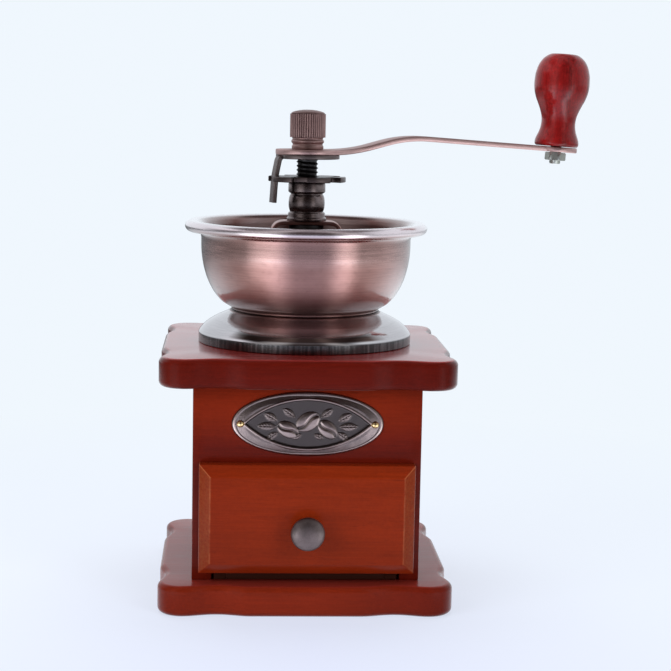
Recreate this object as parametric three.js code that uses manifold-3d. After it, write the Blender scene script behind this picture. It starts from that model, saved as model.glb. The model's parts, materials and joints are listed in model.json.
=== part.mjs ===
import * as THREE from 'three';
import { mergeVertices } from 'three/addons/utils/BufferGeometryUtils.js';
import Module from 'manifold-3d';

// Box mill with a wooden body, a spun metal hopper and a top crank.
// Millimetres, +Z up. The origin is the middle of the underside, and the drawer opens towards -Y.

const wasm = await Module();
wasm.setup();

// Clearances and helpers for cutting
const seatGap = 0.25;
const fitGap = 0.3;
const runGap = 0.3;
const overrun = 2;
const weld = 0.0001;

// Wooden plates
const plateSide = 120;
const plateCorner = 10;
const plateRounding = 2.4;
const plateNotchDepth = 2.6;
const plateNotchHalfWidth = 14;
const plateNotchPlace = 36;
const basePlateThickness = 12.5;
const topPlateThickness = 12;

// Wooden body
const bodyWidth = 92.6;
const bodyDepth = 96.5;
const bodyHeight = 80;
const panelThickness = 8;
const bayHeight = 45;

// Drawer
const drawerFrontWidth = 87;
const drawerFrontHeight = 44.5;
const drawerFrontThickness = 9.75;
const drawerFrontBevel = 4.5;
const drawerFrontBevelDepth = 3.25;
const drawerFrontLift = 4.5;
const drawerSideClearance = 1;
const drawerWallHeight = 36;
const drawerWallThickness = 5;
const drawerBottomThickness = 3;
const drawerBackGap = 4;
const knobRadius = 6.8;
const knobLength = 11.5;
const knobDrop = 3.25;
const knobScrewRadius = 1.9;
const knobScrewDepth = 6;

// Oval plate on the front
const namePlateWidth = 61.4;
const namePlateHeight = 26.5;
const namePlateThickness = 1.8;
const namePlateRounding = 0.6;
const namePlateDrop = 15.25;
const namePlateFieldWidth = 50.5;
const namePlateFieldHeight = 19.6;
const namePlateFieldDepth = 0.8;
const pinPlace = 27.2;
const pinShankRadius = 0.7;
const pinHeadRadius = 1.3;
const pinHeadHeight = 0.8;
const pinLength = 8;

// Screws
const baseScrewRadius = 1.75;
const baseScrewLength = 30;
const baseScrewHeadRadius = 3.6;
const baseScrewHeadHeight = 2.6;
const baseScrewPlaceShare = 0.58;
const hopperScrewRadius = 1.6;
const hopperScrewLength = 12;
const hopperScrewHeadRadius = 3;
const hopperScrewHeadHeight = 2.1;
const hopperScrewPlace = 25;
const knobScrewHeadRadius = 3.4;
const knobScrewHeadHeight = 2;

// Hopper
const sheetThickness = 1.2;
const flangeRadius = 45.2;
const flangeNeckRadius = 31.4;
const flangeHeight = 13.75;
const bowlRadius = 44.4;
const bowlHeight = 35.25;
const bowlCurveDepth = 28;
const bowlCurveReach = 17.1;
const bowlCurveEnd = THREE.MathUtils.degToRad(62);
const lipRadius = 51.4;
const lipRollRadius = 2.3;
const throatRadius = 20.3;

// Burrs and their housing
const housingFlangeRadius = 29.4;
const housingFlangeThickness = 3.5;
const housingBarrelRadius = 23;
const housingLength = 24;
const housingThroatRadius = 16.5;
const outerBurrRadius = 19.5;
const outerBurrHeight = 19;
const outerBurrTopRadius = 14.8;
const outerBurrBottomRadius = 17.6;
const outerBurrLift = 1;
const outerBurrTeeth = 24;
const burrToothDepth = 1.1;
const burrGap = 0.9;
const innerBurrDrop = 0.75;
const innerBurrTeeth = 12;
const augerHeight = 11;
const augerTopRadius = 8.2;
const augerFluteDepth = 2.6;
const burrTwist = 0.9;
const burrWasherRadius = 9;
const burrWasherThickness = 2;
const burrNutAcrossFlats = 13;
const burrNutHeight = 6.5;
const burrShaftRadius = 3.9;
const spindleTipLength = 1.75;

// Bridge, sleeve and spindle
const bridgeRise = 46.8;
const bridgeWidth = 13;
const bridgeThickness = 1.6;
const bridgeShoulder = 14;
const bridgeShoulderCurve = 4.5;
const bridgeFootBend = 19.6;
const bridgeFootCurve = 2.4;
const bridgeFootEnd = 27;
const sleeveRadius = 8.4;
const sleeveLength = 16.2;
const sleeveSpigotRadius = 6;
const collarRadius = 7.4;
const collarHeight = 2.6;
const spindleRadius = 4.6;
const spindleFlatHalf = 3.8;
const spindleTopMargin = 2.5;

// Push spring round the spindle
const springWireRadius = 0.7;
const springRadius = 6;
const springTurns = 9;
const springStepsPerTurn = 8;
const springWireSides = 5;
const springClosedShare = 0.09;
const springClosedRise = 2;

// Adjusting ring, lock plate and crank
const ringRadius = 16.4;
const ringThickness = 2.2;
const ringNotches = 6;
const ringNotchWidth = 6.2;
const ringNotchDepth = 4.2;
const ringRounding = 0.4;
const threadShown = 7.4;
const lockPlateRadius = 13.6;
const lockPlateThickness = 1.8;
const lockTabWidth = 5.4;
const lockTabLength = 19.3;
const lockTabBend = 12;
const lockTabReach = 15;
const lockTabKnee = 14.3;
const lockTabKneeDrop = 8.5;
const crankAngle = THREE.MathUtils.degToRad(16);
const armThickness = 2.2;
const armHubRadius = 13.5;
const armNeckPlace = 24;
const armNeckTurn = THREE.MathUtils.degToRad(42);
const armHalfWidth = 5.6;
const armEyeRadius = 9.2;
const armFlatEnd = 19;
const armPeakPlace = 46;
const armPeakRise = 6.6;
const armDroop = THREE.MathUtils.degToRad(3.7);
const armReach = 116;
const capNutRadius = 7.55;
const capNutHeight = 16.6;
const capNutBoreDepth = 13;

// Grip
const gripRadius = 12.15;
const gripLength = 40.4;
const gripBoreRadius = 2.8;
const gripCounterboreRadius = 5.2;
const gripCounterboreDepth = 5;
const gripBoltRadius = 2.4;
const gripBoltHeadRadius = 4.4;
const gripBoltHeadHeight = 3;
const gripBoltTipLength = 1.5;
const gripNutAcrossFlats = 8;
const gripNutHeight = 3.5;

// Facets of round pieces
const fineSides = 48;
const midSides = 32;
const smallSides = 24;
const screwSides = 12;
const roundingSteps = 2;

// Outlines as shares of the sizes that they follow: [share of radius, share of height]
const knobProfileShares = [
  [0.72, 0], [0.72, 0.06], [0.46, 0.14], [0.44, 0.42], [0.6, 0.54],
  [0.97, 0.6], [1, 0.68], [0.95, 0.78], [0.76, 0.9], [0.44, 0.975], [0, 1],
];
const flangeProfileShares = [
  [1, 0], [1, 0.3], [0.95, 0.385], [0.8, 0.54], [0.55, 0.71], [0.25, 0.855], [0, 0.95], [0, 1],
];
const sleeveProfileShares = [
  [1, 0], [1, 0.04], [0.93, 0.075], [0.93, 0.205], [0.84, 0.245], [0.885, 0.32],
  [0.911, 0.43], [0.908, 0.58], [0.88, 0.655], [0.807, 0.685], [0.807, 0.705], [0.93, 0.76], [0.93, 1],
];
const capNutProfileShares = [
  [0.885, 0], [0.885, 0.07], [0.84, 0.1], [0.84, 0.14], [0.918, 0.17], [0.918, 0.215],
  [0.86, 0.245], [0.86, 0.275], [1, 0.3], [1, 0.9], [0.93, 0.935], [0.66, 0.975], [0.33, 0.995], [0, 1],
];
const gripProfileShares = [
  [0.74, 0], [0.795, 0.025], [0.78, 0.07], [0.67, 0.158], [0.62, 0.235], [0.622, 0.289], [0.692, 0.377],
  [0.809, 0.464], [0.93, 0.551], [0.99, 0.625], [1, 0.7], [0.955, 0.81], [0.847, 0.9], [0.746, 0.944],
  [0.6, 0.983], [0.44, 1],
];

// Heights and places that follow from the sizes
const bodyBottom = basePlateThickness;
const bodyTop = bodyBottom + bodyHeight;
const plateTop = bodyTop + topPlateThickness;
const bodyFront = -bodyDepth / 2;
const bodyBack = bodyDepth / 2;
const bayHalfWidth = bodyWidth / 2 - panelThickness;
const neckTop = plateTop + flangeHeight;
const lipHeight = neckTop + bowlHeight;
const bowlFloor = plateTop + housingFlangeThickness;
const bowlFloorTop = bowlFloor + sheetThickness;
const bridgeTop = bowlFloorTop + bridgeRise;
const bridgeUnder = bridgeTop - bridgeThickness;
const sleeveTop = bridgeTop + sleeveLength;
const ringBottom = sleeveTop + runGap;
const ringTop = ringBottom + ringThickness;
const lockPlateBottom = ringTop + threadShown;
const armBottom = lockPlateBottom + lockPlateThickness;
const armTop = armBottom + armThickness;
const housingBottom = plateTop - housingLength;
const outerBurrBottom = housingBottom + outerBurrLift;
const outerBurrTop = outerBurrBottom + outerBurrHeight;
const innerBurrBottom = outerBurrBottom - innerBurrDrop;
const augerTop = outerBurrTop + augerHeight;
const burrWasherBottom = innerBurrBottom - burrWasherThickness;
const burrNutBottom = burrWasherBottom - burrNutHeight;
const drawerBack = bodyBack - panelThickness - drawerBackGap;
const drawerFrontBack = bodyFront - seatGap;
const drawerFloor = bodyBottom + seatGap;
const drawerHalfWidth = bayHalfWidth - drawerSideClearance;
const drawerFrontBottom = bodyBottom + drawerFrontLift;
const knobHeight = drawerFrontBottom + drawerFrontHeight / 2 - knobDrop;
const namePlateHeightPlace = bodyTop - namePlateDrop;

function material(color, roughness, metalness) {
  return new THREE.MeshStandardMaterial({ color, roughness, metalness });
}

const cherryWood = material(0x7c2a16, 0.38, 0);
const drawerWood = material(0x8f3516, 0.38, 0);
const rawWood = material(0xb98a5a, 0.7, 0);
const gripWood = material(0x8e1a14, 0.25, 0);
const antiqueCopper = material(0x9a6a5c, 0.34, 0.9);
const bronze = material(0x4a3b37, 0.32, 0.9);
const darkSteel = material(0x1e1c1c, 0.5, 0.8);
const castIron = material(0x3f3d3c, 0.65, 0.7);
const zincSteel = material(0x9a9a90, 0.4, 0.9);
const brass = material(0xc9a468, 0.3, 0.95);

// Makes a solid for joins and cuts from a closed geometry
function solid(geometry) {
  const bare = geometry.clone();
  bare.deleteAttribute('normal');
  bare.deleteAttribute('uv');
  const merged = mergeVertices(bare, weld);
  const corners = merged.index.array;
  const kept = [];
  for (let i = 0; i < corners.length; i += 3) {
    const [a, b, c] = [corners[i], corners[i + 1], corners[i + 2]];
    if (a !== b && b !== c && c !== a) kept.push(a, b, c);
  }
  const vertProperties = new Float32Array(merged.attributes.position.array);
  return new wasm.Manifold(new wasm.Mesh({ numProp: 3, vertProperties, triVerts: new Uint32Array(kept) }));
}

function geometryOf(body) {
  const mesh = body.getMesh();
  const geometry = new THREE.BufferGeometry();
  geometry.setAttribute('position', new THREE.BufferAttribute(new Float32Array(mesh.vertProperties), 3));
  geometry.setIndex(new THREE.BufferAttribute(new Uint32Array(mesh.triVerts), 1));
  geometry.computeVertexNormals();
  return geometry;
}

// Joins and cuts, in the order given
function joined(base, others) {
  return geometryOf(others.reduce((body, other) => body.add(solid(other)), solid(base)));
}

function cut(base, tools) {
  return geometryOf(tools.reduce((body, tool) => body.subtract(solid(tool)), solid(base)));
}

function common(base, other) {
  return geometryOf(solid(base).intersect(solid(other)));
}

// A body of revolution about Z. The profile runs up the outside, from the axis or closed on itself.
function revolved(profile, sides) {
  const points = profile.map(([radius, height]) => new THREE.Vector2(radius, height));
  return new THREE.LatheGeometry(points, sides).rotateX(Math.PI / 2);
}

function revolvedRing(profile, sides) {
  return revolved([...profile, profile[0]], sides);
}

function rod(radius, bottom, top, sides) {
  return revolved([[0, bottom], [radius, bottom], [radius, top], [0, top]], sides);
}

function tube(outer, inner, bottom, top, sides) {
  return revolvedRing([[inner, bottom], [outer, bottom], [outer, top], [inner, top]], sides);
}

function block(left, right, front, back, bottom, top) {
  const box = new THREE.BoxGeometry(right - left, back - front, top - bottom);
  return box.translate((left + right) / 2, (front + back) / 2, (bottom + top) / 2);
}

// Extrudes a shape upwards from a height, with its edges rounded or chamfered
function slab(shape, bottom, thickness, rounding = 0, steps = roundingSteps) {
  const geometry = new THREE.ExtrudeGeometry(shape, {
    depth: thickness - 2 * rounding,
    curveSegments: 1,
    bevelEnabled: rounding > 0,
    bevelThickness: rounding,
    bevelSize: rounding,
    bevelOffset: -rounding,
    bevelSegments: steps,
  });
  return geometry.translate(0, 0, bottom + rounding);
}

function shapeOf(points) {
  return new THREE.Shape(points.map(([x, y]) => new THREE.Vector2(x, y)));
}

// The points of a line with its corners turned into curves that start a given distance before them
function curvedPath(corners, curve, steps) {
  const path = new THREE.Path();
  const at = corners.map(([x, y]) => new THREE.Vector2(x, y));
  path.moveTo(at[0].x, at[0].y);
  for (let i = 1; i < at.length - 1; i += 1) {
    const before = at[i - 1].clone().sub(at[i]).setLength(curve).add(at[i]);
    const after = at[i + 1].clone().sub(at[i]).setLength(curve).add(at[i]);
    path.lineTo(before.x, before.y);
    path.quadraticCurveTo(at[i].x, at[i].y, after.x, after.y);
  }
  path.lineTo(at[at.length - 1].x, at[at.length - 1].y);
  return path.getPoints(steps);
}

// The line moved sideways by a distance, to its left
function offsetLine(points, distance) {
  return points.map((point, i) => {
    const back = points[Math.max(i - 1, 0)];
    const ahead = points[Math.min(i + 1, points.length - 1)];
    const inDirection = point.clone().sub(back);
    const outDirection = ahead.clone().sub(point);
    const into = inDirection.lengthSq() > 0 ? inDirection.normalize() : outDirection.clone().normalize();
    const out = outDirection.lengthSq() > 0 ? outDirection.normalize() : into.clone();
    const along = into.clone().add(out).normalize();
    const spread = distance / Math.max(along.dot(into), 0.5);
    return new THREE.Vector2(point.x - along.y * spread, point.y + along.x * spread);
  });
}

// A strip of sheet bent along a line in the X-Z plane, as wide as given in Y
function bentStrip(points, thickness, width) {
  const left = offsetLine(points, thickness / 2);
  const right = offsetLine(points, -thickness / 2).reverse();
  const strip = slab(new THREE.Shape([...left, ...right]), 0, width);
  return strip.rotateX(Math.PI / 2).translate(0, width / 2, 0);
}

function circlePoints(radius, sides) {
  const points = [];
  for (let i = 0; i < sides; i += 1) {
    const angle = (i / sides) * 2 * Math.PI;
    points.push([radius * Math.cos(angle), radius * Math.sin(angle)]);
  }
  return points;
}

// Pan-head or countersunk screw on +Z, its head's seat at height 0 and its point downwards
function screw(radius, length, headRadius, headHeight) {
  return revolved([
    [0, -length], [radius, radius - length], [radius, 0], [headRadius, 0],
    [headRadius, headHeight / 2], [headRadius / 2, headHeight], [0, headHeight],
  ], screwSides);
}

function countersunkScrew(radius, length, headRadius, headHeight) {
  return revolved([
    [0, -length], [radius, radius - length], [radius, -headHeight], [headRadius, 0], [0, 0],
  ], screwSides);
}

function hexNut(acrossFlats, boreRadius, bottom, height) {
  const blank = rod(acrossFlats / Math.sqrt(3), bottom, bottom + height, 6);
  return cut(blank, [rod(boreRadius, bottom - overrun, bottom + height + overrun, smallSides)]);
}

const mill = new THREE.Group();
const crank = new THREE.Group();
crank.rotation.z = crankAngle;
mill.add(crank);
const gripSeat = new THREE.Group();
crank.add(gripSeat);

function add(name, geometry, finish, parent = mill) {
  const mesh = new THREE.Mesh(geometry, finish);
  mesh.name = name;
  parent.add(mesh);
  return mesh;
}

// Square plate outline: each side has two shallow notches with a lobe between them
function plateShape() {
  const half = plateSide / 2;
  const straightEnd = half - plateCorner;
  const notchSteps = 6;
  const cornerSteps = 4;
  const side = [];
  for (const centre of [-plateNotchPlace, plateNotchPlace]) {
    for (let i = 0; i <= notchSteps; i += 1) {
      const across = (2 * i) / notchSteps - 1;
      const dip = plateNotchDepth * Math.cos((across * Math.PI) / 2) ** 2;
      side.push(new THREE.Vector2(half - dip, centre + across * plateNotchHalfWidth));
    }
  }
  for (let i = 0; i <= cornerSteps; i += 1) {
    const angle = (i / cornerSteps) * (Math.PI / 2);
    side.push(new THREE.Vector2(
      straightEnd + plateCorner * Math.cos(angle),
      straightEnd + plateCorner * Math.sin(angle),
    ));
  }
  const points = [];
  for (let quarter = 0; quarter < 4; quarter += 1) {
    const turn = (quarter * Math.PI) / 2;
    for (const point of side) points.push(point.clone().rotateAround(new THREE.Vector2(), turn));
  }
  return new THREE.Shape(points);
}

const baseScrewPlaces = [[-1, -1], [1, -1], [-1, 1], [1, 1]]
  .map(([x, y]) => [x * (bodyWidth - panelThickness) / 2, y * bodyBack * baseScrewPlaceShare]);
const hopperScrewAngles = [0, 1, 2, 3].map((quarter) => (quarter * Math.PI) / 2);

function baseScrewHoles() {
  return baseScrewPlaces.map(([x, y]) => revolved([
    [0, -overrun], [baseScrewHeadRadius + fitGap, -overrun], [baseScrewHeadRadius + fitGap, seatGap],
    [baseScrewRadius + fitGap, baseScrewHeadHeight + seatGap + fitGap],
    [baseScrewRadius + fitGap, baseScrewLength + fitGap + overrun],
    [0, baseScrewLength + fitGap + overrun],
  ], screwSides).translate(x, y, 0));
}

function hopperScrewHoles() {
  const bottom = bowlFloorTop - hopperScrewLength - overrun;
  const top = bridgeTop;
  return hopperScrewAngles.map((angle) => rod(hopperScrewRadius + fitGap, bottom, top, screwSides)
    .translate(hopperScrewPlace, 0, 0).rotateZ(angle));
}

function basePlate() {
  const plate = slab(plateShape(), 0, basePlateThickness, plateRounding);
  add('base_plate', cut(plate, baseScrewHoles()), cherryWood);
}

function topPlate() {
  const opening = rod(housingBarrelRadius + fitGap, bodyTop - overrun, plateTop + overrun, fineSides);
  const plate = slab(plateShape(), bodyTop, topPlateThickness, plateRounding);
  add('top_plate', cut(plate, [opening, ...hopperScrewHoles()]), cherryWood);
}

// Front board with the drawer bay cut from its lower edge, a board at the back and two between them
function bodyPanels() {
  const half = bodyWidth / 2;
  const frontBack = bodyFront + panelThickness;
  const backFront = bodyBack - panelThickness;
  const bay = block(
    -bayHalfWidth, bayHalfWidth,
    bodyFront - overrun, frontBack + overrun,
    bodyBottom - overrun, bodyBottom + bayHeight,
  );
  const pinHoles = [-pinPlace, pinPlace].map((x) => (
    rod(pinShankRadius + fitGap, -pinLength - overrun, overrun, screwSides)
      .rotateX(Math.PI / 2).translate(x, bodyFront, namePlateHeightPlace)
  ));
  const front = block(-half, half, bodyFront, frontBack, bodyBottom, bodyTop);
  add('front_board', cut(front, [bay, ...pinHoles]), cherryWood);
  add('back_board', block(-half, half, backFront, bodyBack, bodyBottom, bodyTop), cherryWood);
  const left = block(-half, panelThickness - half, frontBack, backFront, bodyBottom, bodyTop);
  const right = block(half - panelThickness, half, frontBack, backFront, bodyBottom, bodyTop);
  add('left_board', cut(left, baseScrewHoles()), cherryWood);
  add('right_board', cut(right, baseScrewHoles()), cherryWood);
}

function baseScrews() {
  baseScrewPlaces.forEach(([x, y], i) => {
    const body = countersunkScrew(baseScrewRadius, baseScrewLength, baseScrewHeadRadius, baseScrewHeadHeight);
    add(`base_screw_${i + 1}`, body.rotateX(Math.PI).translate(x, y, seatGap), zincSteel);
  });
}

// Oval plate with a sunk pointed field, held by two small round-headed pins
function namePlate() {
  const sides = midSides;
  const oval = circlePoints(1, sides).map(([x, y]) => [x * namePlateWidth / 2, y * namePlateHeight / 2]);
  const fieldHalf = namePlateFieldWidth / 2;
  const fieldRise = namePlateFieldHeight / 2;
  const fieldArc = (fieldHalf ** 2 + fieldRise ** 2) / (2 * fieldRise);
  const fieldEnd = Math.asin(fieldHalf / fieldArc);
  const lens = [];
  for (const sign of [1, -1]) {
    for (let i = 0; i < smallSides / 2; i += 1) {
      const angle = fieldEnd - (i / (smallSides / 2)) * 2 * fieldEnd;
      const rise = fieldArc * Math.cos(angle) - fieldArc + fieldRise;
      lens.push([sign * fieldArc * Math.sin(angle), sign * rise]);
    }
  }
  const plate = slab(shapeOf(oval), 0, namePlateThickness, namePlateRounding, 2);
  const field = slab(shapeOf(lens), namePlateThickness - namePlateFieldDepth, namePlateFieldDepth + overrun);
  const holes = [-pinPlace, pinPlace].map((x) => (
    rod(pinShankRadius + fitGap, -overrun, namePlateThickness + overrun, screwSides).translate(x, 0, 0)
  ));
  const body = cut(plate, [field, ...holes]).rotateX(Math.PI / 2);
  add('oval_plate', body.translate(0, bodyFront, namePlateHeightPlace), bronze);
  for (const [side, sign] of [['left', -1], ['right', 1]]) {
    const pin = revolved([
      [0, -pinLength], [pinShankRadius, pinShankRadius - pinLength], [pinShankRadius, 0], [pinHeadRadius, 0],
      [pinHeadRadius, pinHeadHeight / 4], [pinHeadRadius / 2, pinHeadHeight], [0, pinHeadHeight],
    ], screwSides).rotateX(Math.PI / 2);
    const seat = bodyFront - namePlateThickness;
    add(`oval_plate_pin_${side}`, pin.translate(sign * pinPlace, seat, namePlateHeightPlace), brass);
  }
}

function drawerFront() {
  const half = drawerFrontWidth / 2;
  const rise = drawerFrontHeight / 2;
  const outline = [[-half, -rise], [half, -rise], [half, rise], [-half, rise]];
  const straight = drawerFrontThickness - drawerFrontBevelDepth;
  const board = slab(shapeOf(outline), 0, straight);
  const narrow = 1 - drawerFrontBevel / half;
  const low = 1 - drawerFrontBevel / rise;
  const field = new THREE.BoxGeometry(drawerFrontWidth, drawerFrontHeight, drawerFrontBevelDepth)
    .translate(0, 0, straight + drawerFrontBevelDepth / 2);
  const at = field.attributes.position;
  for (let i = 0; i < at.count; i += 1) {
    if (at.getZ(i) > straight + drawerFrontBevelDepth / 2) at.setXY(i, at.getX(i) * narrow, at.getY(i) * low);
  }
  const hole = rod(knobScrewRadius + fitGap, -overrun, drawerFrontThickness + overrun, screwSides)
    .translate(0, -knobDrop, 0);
  const body = cut(joined(board, [field]), [hole]).rotateX(Math.PI / 2);
  add('drawer_front', body.translate(0, drawerFrontBack, drawerFrontBottom + rise), drawerWood);
}

function drawerKnob() {
  const profile = knobProfileShares.map(([radius, height]) => [radius * knobRadius, height * knobLength]);
  const blank = revolved([[0, 0], ...profile], smallSides);
  const hole = rod(knobScrewRadius + fitGap, -overrun, knobScrewDepth + fitGap, screwSides);
  const face = drawerFrontBack - drawerFrontThickness;
  add('drawer_knob', cut(blank, [hole]).rotateX(Math.PI / 2).translate(0, face, knobHeight), bronze);
  const length = drawerFrontThickness + knobScrewDepth;
  const fastener = screw(knobScrewRadius, length, knobScrewHeadRadius, knobScrewHeadHeight)
    .rotateX(-Math.PI / 2).translate(0, drawerFrontBack, knobHeight);
  add('drawer_knob_screw', fastener, zincSteel);
}

function drawerBox() {
  const inner = drawerHalfWidth - drawerWallThickness;
  const wallBack = drawerBack - drawerWallThickness;
  const top = drawerFloor + drawerWallHeight;
  const low = drawerFloor + drawerBottomThickness;
  const boards = {
    drawer_left: block(-drawerHalfWidth, -inner, drawerFrontBack, drawerBack, drawerFloor, top),
    drawer_right: block(inner, drawerHalfWidth, drawerFrontBack, drawerBack, drawerFloor, top),
    drawer_back: block(-inner, inner, wallBack, drawerBack, drawerFloor, top),
    drawer_bottom: block(-inner, inner, drawerFrontBack, wallBack, drawerFloor, low),
  };
  for (const [name, board] of Object.entries(boards)) add(name, board, rawWood);
}

// Spun skirt that carries the bowl on the top plate
function hopperFlange() {
  const spread = flangeRadius - flangeNeckRadius;
  const outer = flangeProfileShares.map(([across, up]) => (
    new THREE.Vector2(flangeNeckRadius + across * spread, plateTop + up * flangeHeight)
  ));
  const inner = offsetLine(outer, sheetThickness).reverse();
  const profile = [...outer, ...inner].map((point) => [point.x, point.y]);
  add('hopper_flange', revolvedRing(profile, fineSides), antiqueCopper);
}

// Bowl with a rolled lip outside, a foot on the skirt's neck and a flat floor ring on the burr housing
function hopperBowl() {
  const steps = 5;
  const curveCentre = neckTop + bowlCurveDepth;
  const curveMiddle = bowlRadius - bowlCurveReach;
  const footOuter = flangeNeckRadius - fitGap;
  const neckOuter = flangeNeckRadius - sheetThickness - fitGap;
  const floorOuter = housingFlangeRadius;
  const wall = (inset) => {
    const points = [];
    for (let i = steps; i >= 0; i -= 1) {
      const angle = (i / steps) * bowlCurveEnd;
      points.push([
        curveMiddle + (bowlCurveReach - inset) * Math.cos(angle),
        curveCentre - (bowlCurveDepth - inset) * Math.sin(angle),
      ]);
    }
    return points;
  };
  const rollMiddle = lipRadius - lipRollRadius;
  const rollSteps = 5;
  const roll = [];
  for (let i = 0; i <= rollSteps; i += 1) {
    const angle = -Math.PI / 2 + (i / rollSteps) * Math.PI;
    roll.push([rollMiddle + lipRollRadius * Math.cos(angle), lipHeight + lipRollRadius * Math.sin(angle)]);
  }
  const lipTop = lipHeight + lipRollRadius;
  const profile = [
    [throatRadius, bowlFloor], [floorOuter, bowlFloor], [neckOuter, neckTop], [footOuter, neckTop],
    ...wall(0),
    [bowlRadius, lipHeight - lipRollRadius], ...roll,
    [bowlRadius, lipTop], [bowlRadius - sheetThickness, lipTop - sheetThickness],
    ...wall(sheetThickness).reverse(),
    [neckOuter - sheetThickness, neckTop + sheetThickness / 2],
    [floorOuter - sheetThickness, bowlFloorTop], [throatRadius, bowlFloorTop],
  ];
  add('hopper_bowl', cut(revolvedRing(profile, fineSides), hopperScrewHoles()), antiqueCopper);
}

function hopperScrews() {
  hopperScrewAngles.forEach((angle, i) => {
    const onBridge = i % 2 === 0;
    const seat = bowlFloorTop + (onBridge ? bridgeThickness : 0);
    const body = screw(hopperScrewRadius, hopperScrewLength, hopperScrewHeadRadius, hopperScrewHeadHeight);
    add(`hopper_screw_${i + 1}`, body.translate(hopperScrewPlace, 0, seat).rotateZ(angle), zincSteel);
  });
}

// Cast carrier that hangs through the top plate and holds the outer burr
function burrHousing() {
  const bore = outerBurrRadius + fitGap;
  const profile = [
    [bore, housingBottom], [housingBarrelRadius, housingBottom], [housingBarrelRadius, plateTop],
    [housingFlangeRadius, plateTop], [housingFlangeRadius, bowlFloor], [throatRadius, bowlFloor],
    [housingThroatRadius, plateTop], [housingThroatRadius, outerBurrTop], [bore, outerBurrTop],
  ];
  add('burr_housing', cut(revolvedRing(profile, fineSides), hopperScrewHoles()), castIron);
}

// Closed ring between two skins given as radius by angle and by share of height, on a bore or a wall
function toothedRing(bottom, top, rows, sides, outside, inside) {
  const positions = [];
  const index = [];
  for (let row = 0; row <= rows; row += 1) {
    const share = row / rows;
    const height = bottom + share * (top - bottom);
    for (const skin of [outside, inside]) {
      for (let i = 0; i < sides; i += 1) {
        const angle = (i / sides) * 2 * Math.PI;
        const radius = skin(angle, share);
        positions.push(radius * Math.cos(angle), radius * Math.sin(angle), height);
      }
    }
  }
  const outerAt = (row, i) => row * 2 * sides + (i % sides);
  const innerAt = (row, i) => outerAt(row, i) + sides;
  const quad = (a, b, c, d) => index.push(a, b, c, a, c, d);
  for (let i = 0; i < sides; i += 1) {
    for (let row = 0; row < rows; row += 1) {
      quad(outerAt(row, i), outerAt(row, i + 1), outerAt(row + 1, i + 1), outerAt(row + 1, i));
      quad(innerAt(row, i + 1), innerAt(row, i), innerAt(row + 1, i), innerAt(row + 1, i + 1));
    }
    quad(innerAt(0, i), innerAt(0, i + 1), outerAt(0, i + 1), outerAt(0, i));
    quad(outerAt(rows, i), outerAt(rows, i + 1), innerAt(rows, i + 1), innerAt(rows, i));
  }
  const geometry = new THREE.BufferGeometry();
  geometry.setAttribute('position', new THREE.Float32BufferAttribute(positions, 3));
  geometry.setIndex(index);
  geometry.computeVertexNormals();
  return geometry;
}

// A saw tooth from 0 at its tip to 1 just before the next one
function sawTooth(angle, teeth, turn) {
  const place = (angle / (2 * Math.PI)) * teeth + turn;
  return place - Math.floor(place);
}

function outerBurr() {
  const sides = outerBurrTeeth * 2;
  const bore = (angle, share) => {
    const tip = outerBurrBottomRadius + share * (outerBurrTopRadius - outerBurrBottomRadius);
    return tip + burrToothDepth * sawTooth(angle, outerBurrTeeth, -share * burrTwist);
  };
  const ring = toothedRing(outerBurrBottom, outerBurrTop, 3, sides, () => outerBurrRadius, bore);
  add('outer_burr', ring, castIron);
}

// Cone with cutting teeth below and deep feed flutes above
function innerBurr() {
  const sides = innerBurrTeeth * 3;
  const whole = augerTop - innerBurrBottom;
  const coneShare = (outerBurrTop - innerBurrBottom) / whole;
  const bottomRadius = outerBurrBottomRadius - burrGap;
  const topRadius = outerBurrTopRadius - burrGap;
  const skin = (angle, share) => {
    if (share <= coneShare) {
      const radius = bottomRadius + (share / coneShare) * (topRadius - bottomRadius);
      return radius - burrToothDepth * sawTooth(angle, innerBurrTeeth, share * burrTwist);
    }
    const up = (share - coneShare) / (1 - coneShare);
    const radius = topRadius + up * (augerTopRadius - topRadius);
    const depth = burrToothDepth + Math.min(up * 2, 1) * (augerFluteDepth - burrToothDepth) * (1 - up / 2);
    return radius - depth * sawTooth(angle, innerBurrTeeth / 3, share * burrTwist);
  };
  const ring = toothedRing(innerBurrBottom, augerTop, 8, sides, skin, () => burrShaftRadius + fitGap);
  add('inner_burr', ring, castIron, crank);
}

// Arched strap over the throat. Its feet lie on the bowl's floor and its top carries the sleeve.
function bridge() {
  const middle = bridgeThickness / 2;
  const top = bridgeTop - middle;
  const foot = bowlFloorTop + middle;
  const half = [[bridgeShoulder, top], [bridgeFootBend, foot], [bridgeFootEnd, foot]];
  const shoulder = curvedPath([[0, top], half[0], half[1]], bridgeShoulderCurve, 4).slice(0, -1);
  const base = curvedPath([half[0], half[1], half[2]], bridgeFootCurve, 3).slice(1);
  const right = [...shoulder, ...base];
  const left = right.slice(1).reverse().map((point) => new THREE.Vector2(-point.x, point.y));
  const strap = bentStrip([...left, ...right], bridgeThickness, bridgeWidth);
  const eye = rod(sleeveSpigotRadius + fitGap, bridgeUnder - overrun, bridgeTop + overrun, smallSides);
  const footTop = bowlFloorTop + bridgeThickness;
  const holes = [-1, 1].map((sign) => (
    rod(hopperScrewRadius + fitGap, bowlFloorTop - overrun, footTop + overrun, screwSides)
      .translate(sign * hopperScrewPlace, 0, 0)
  ));
  add('bridge', cut(strap, [eye, ...holes]), antiqueCopper);
}

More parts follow.
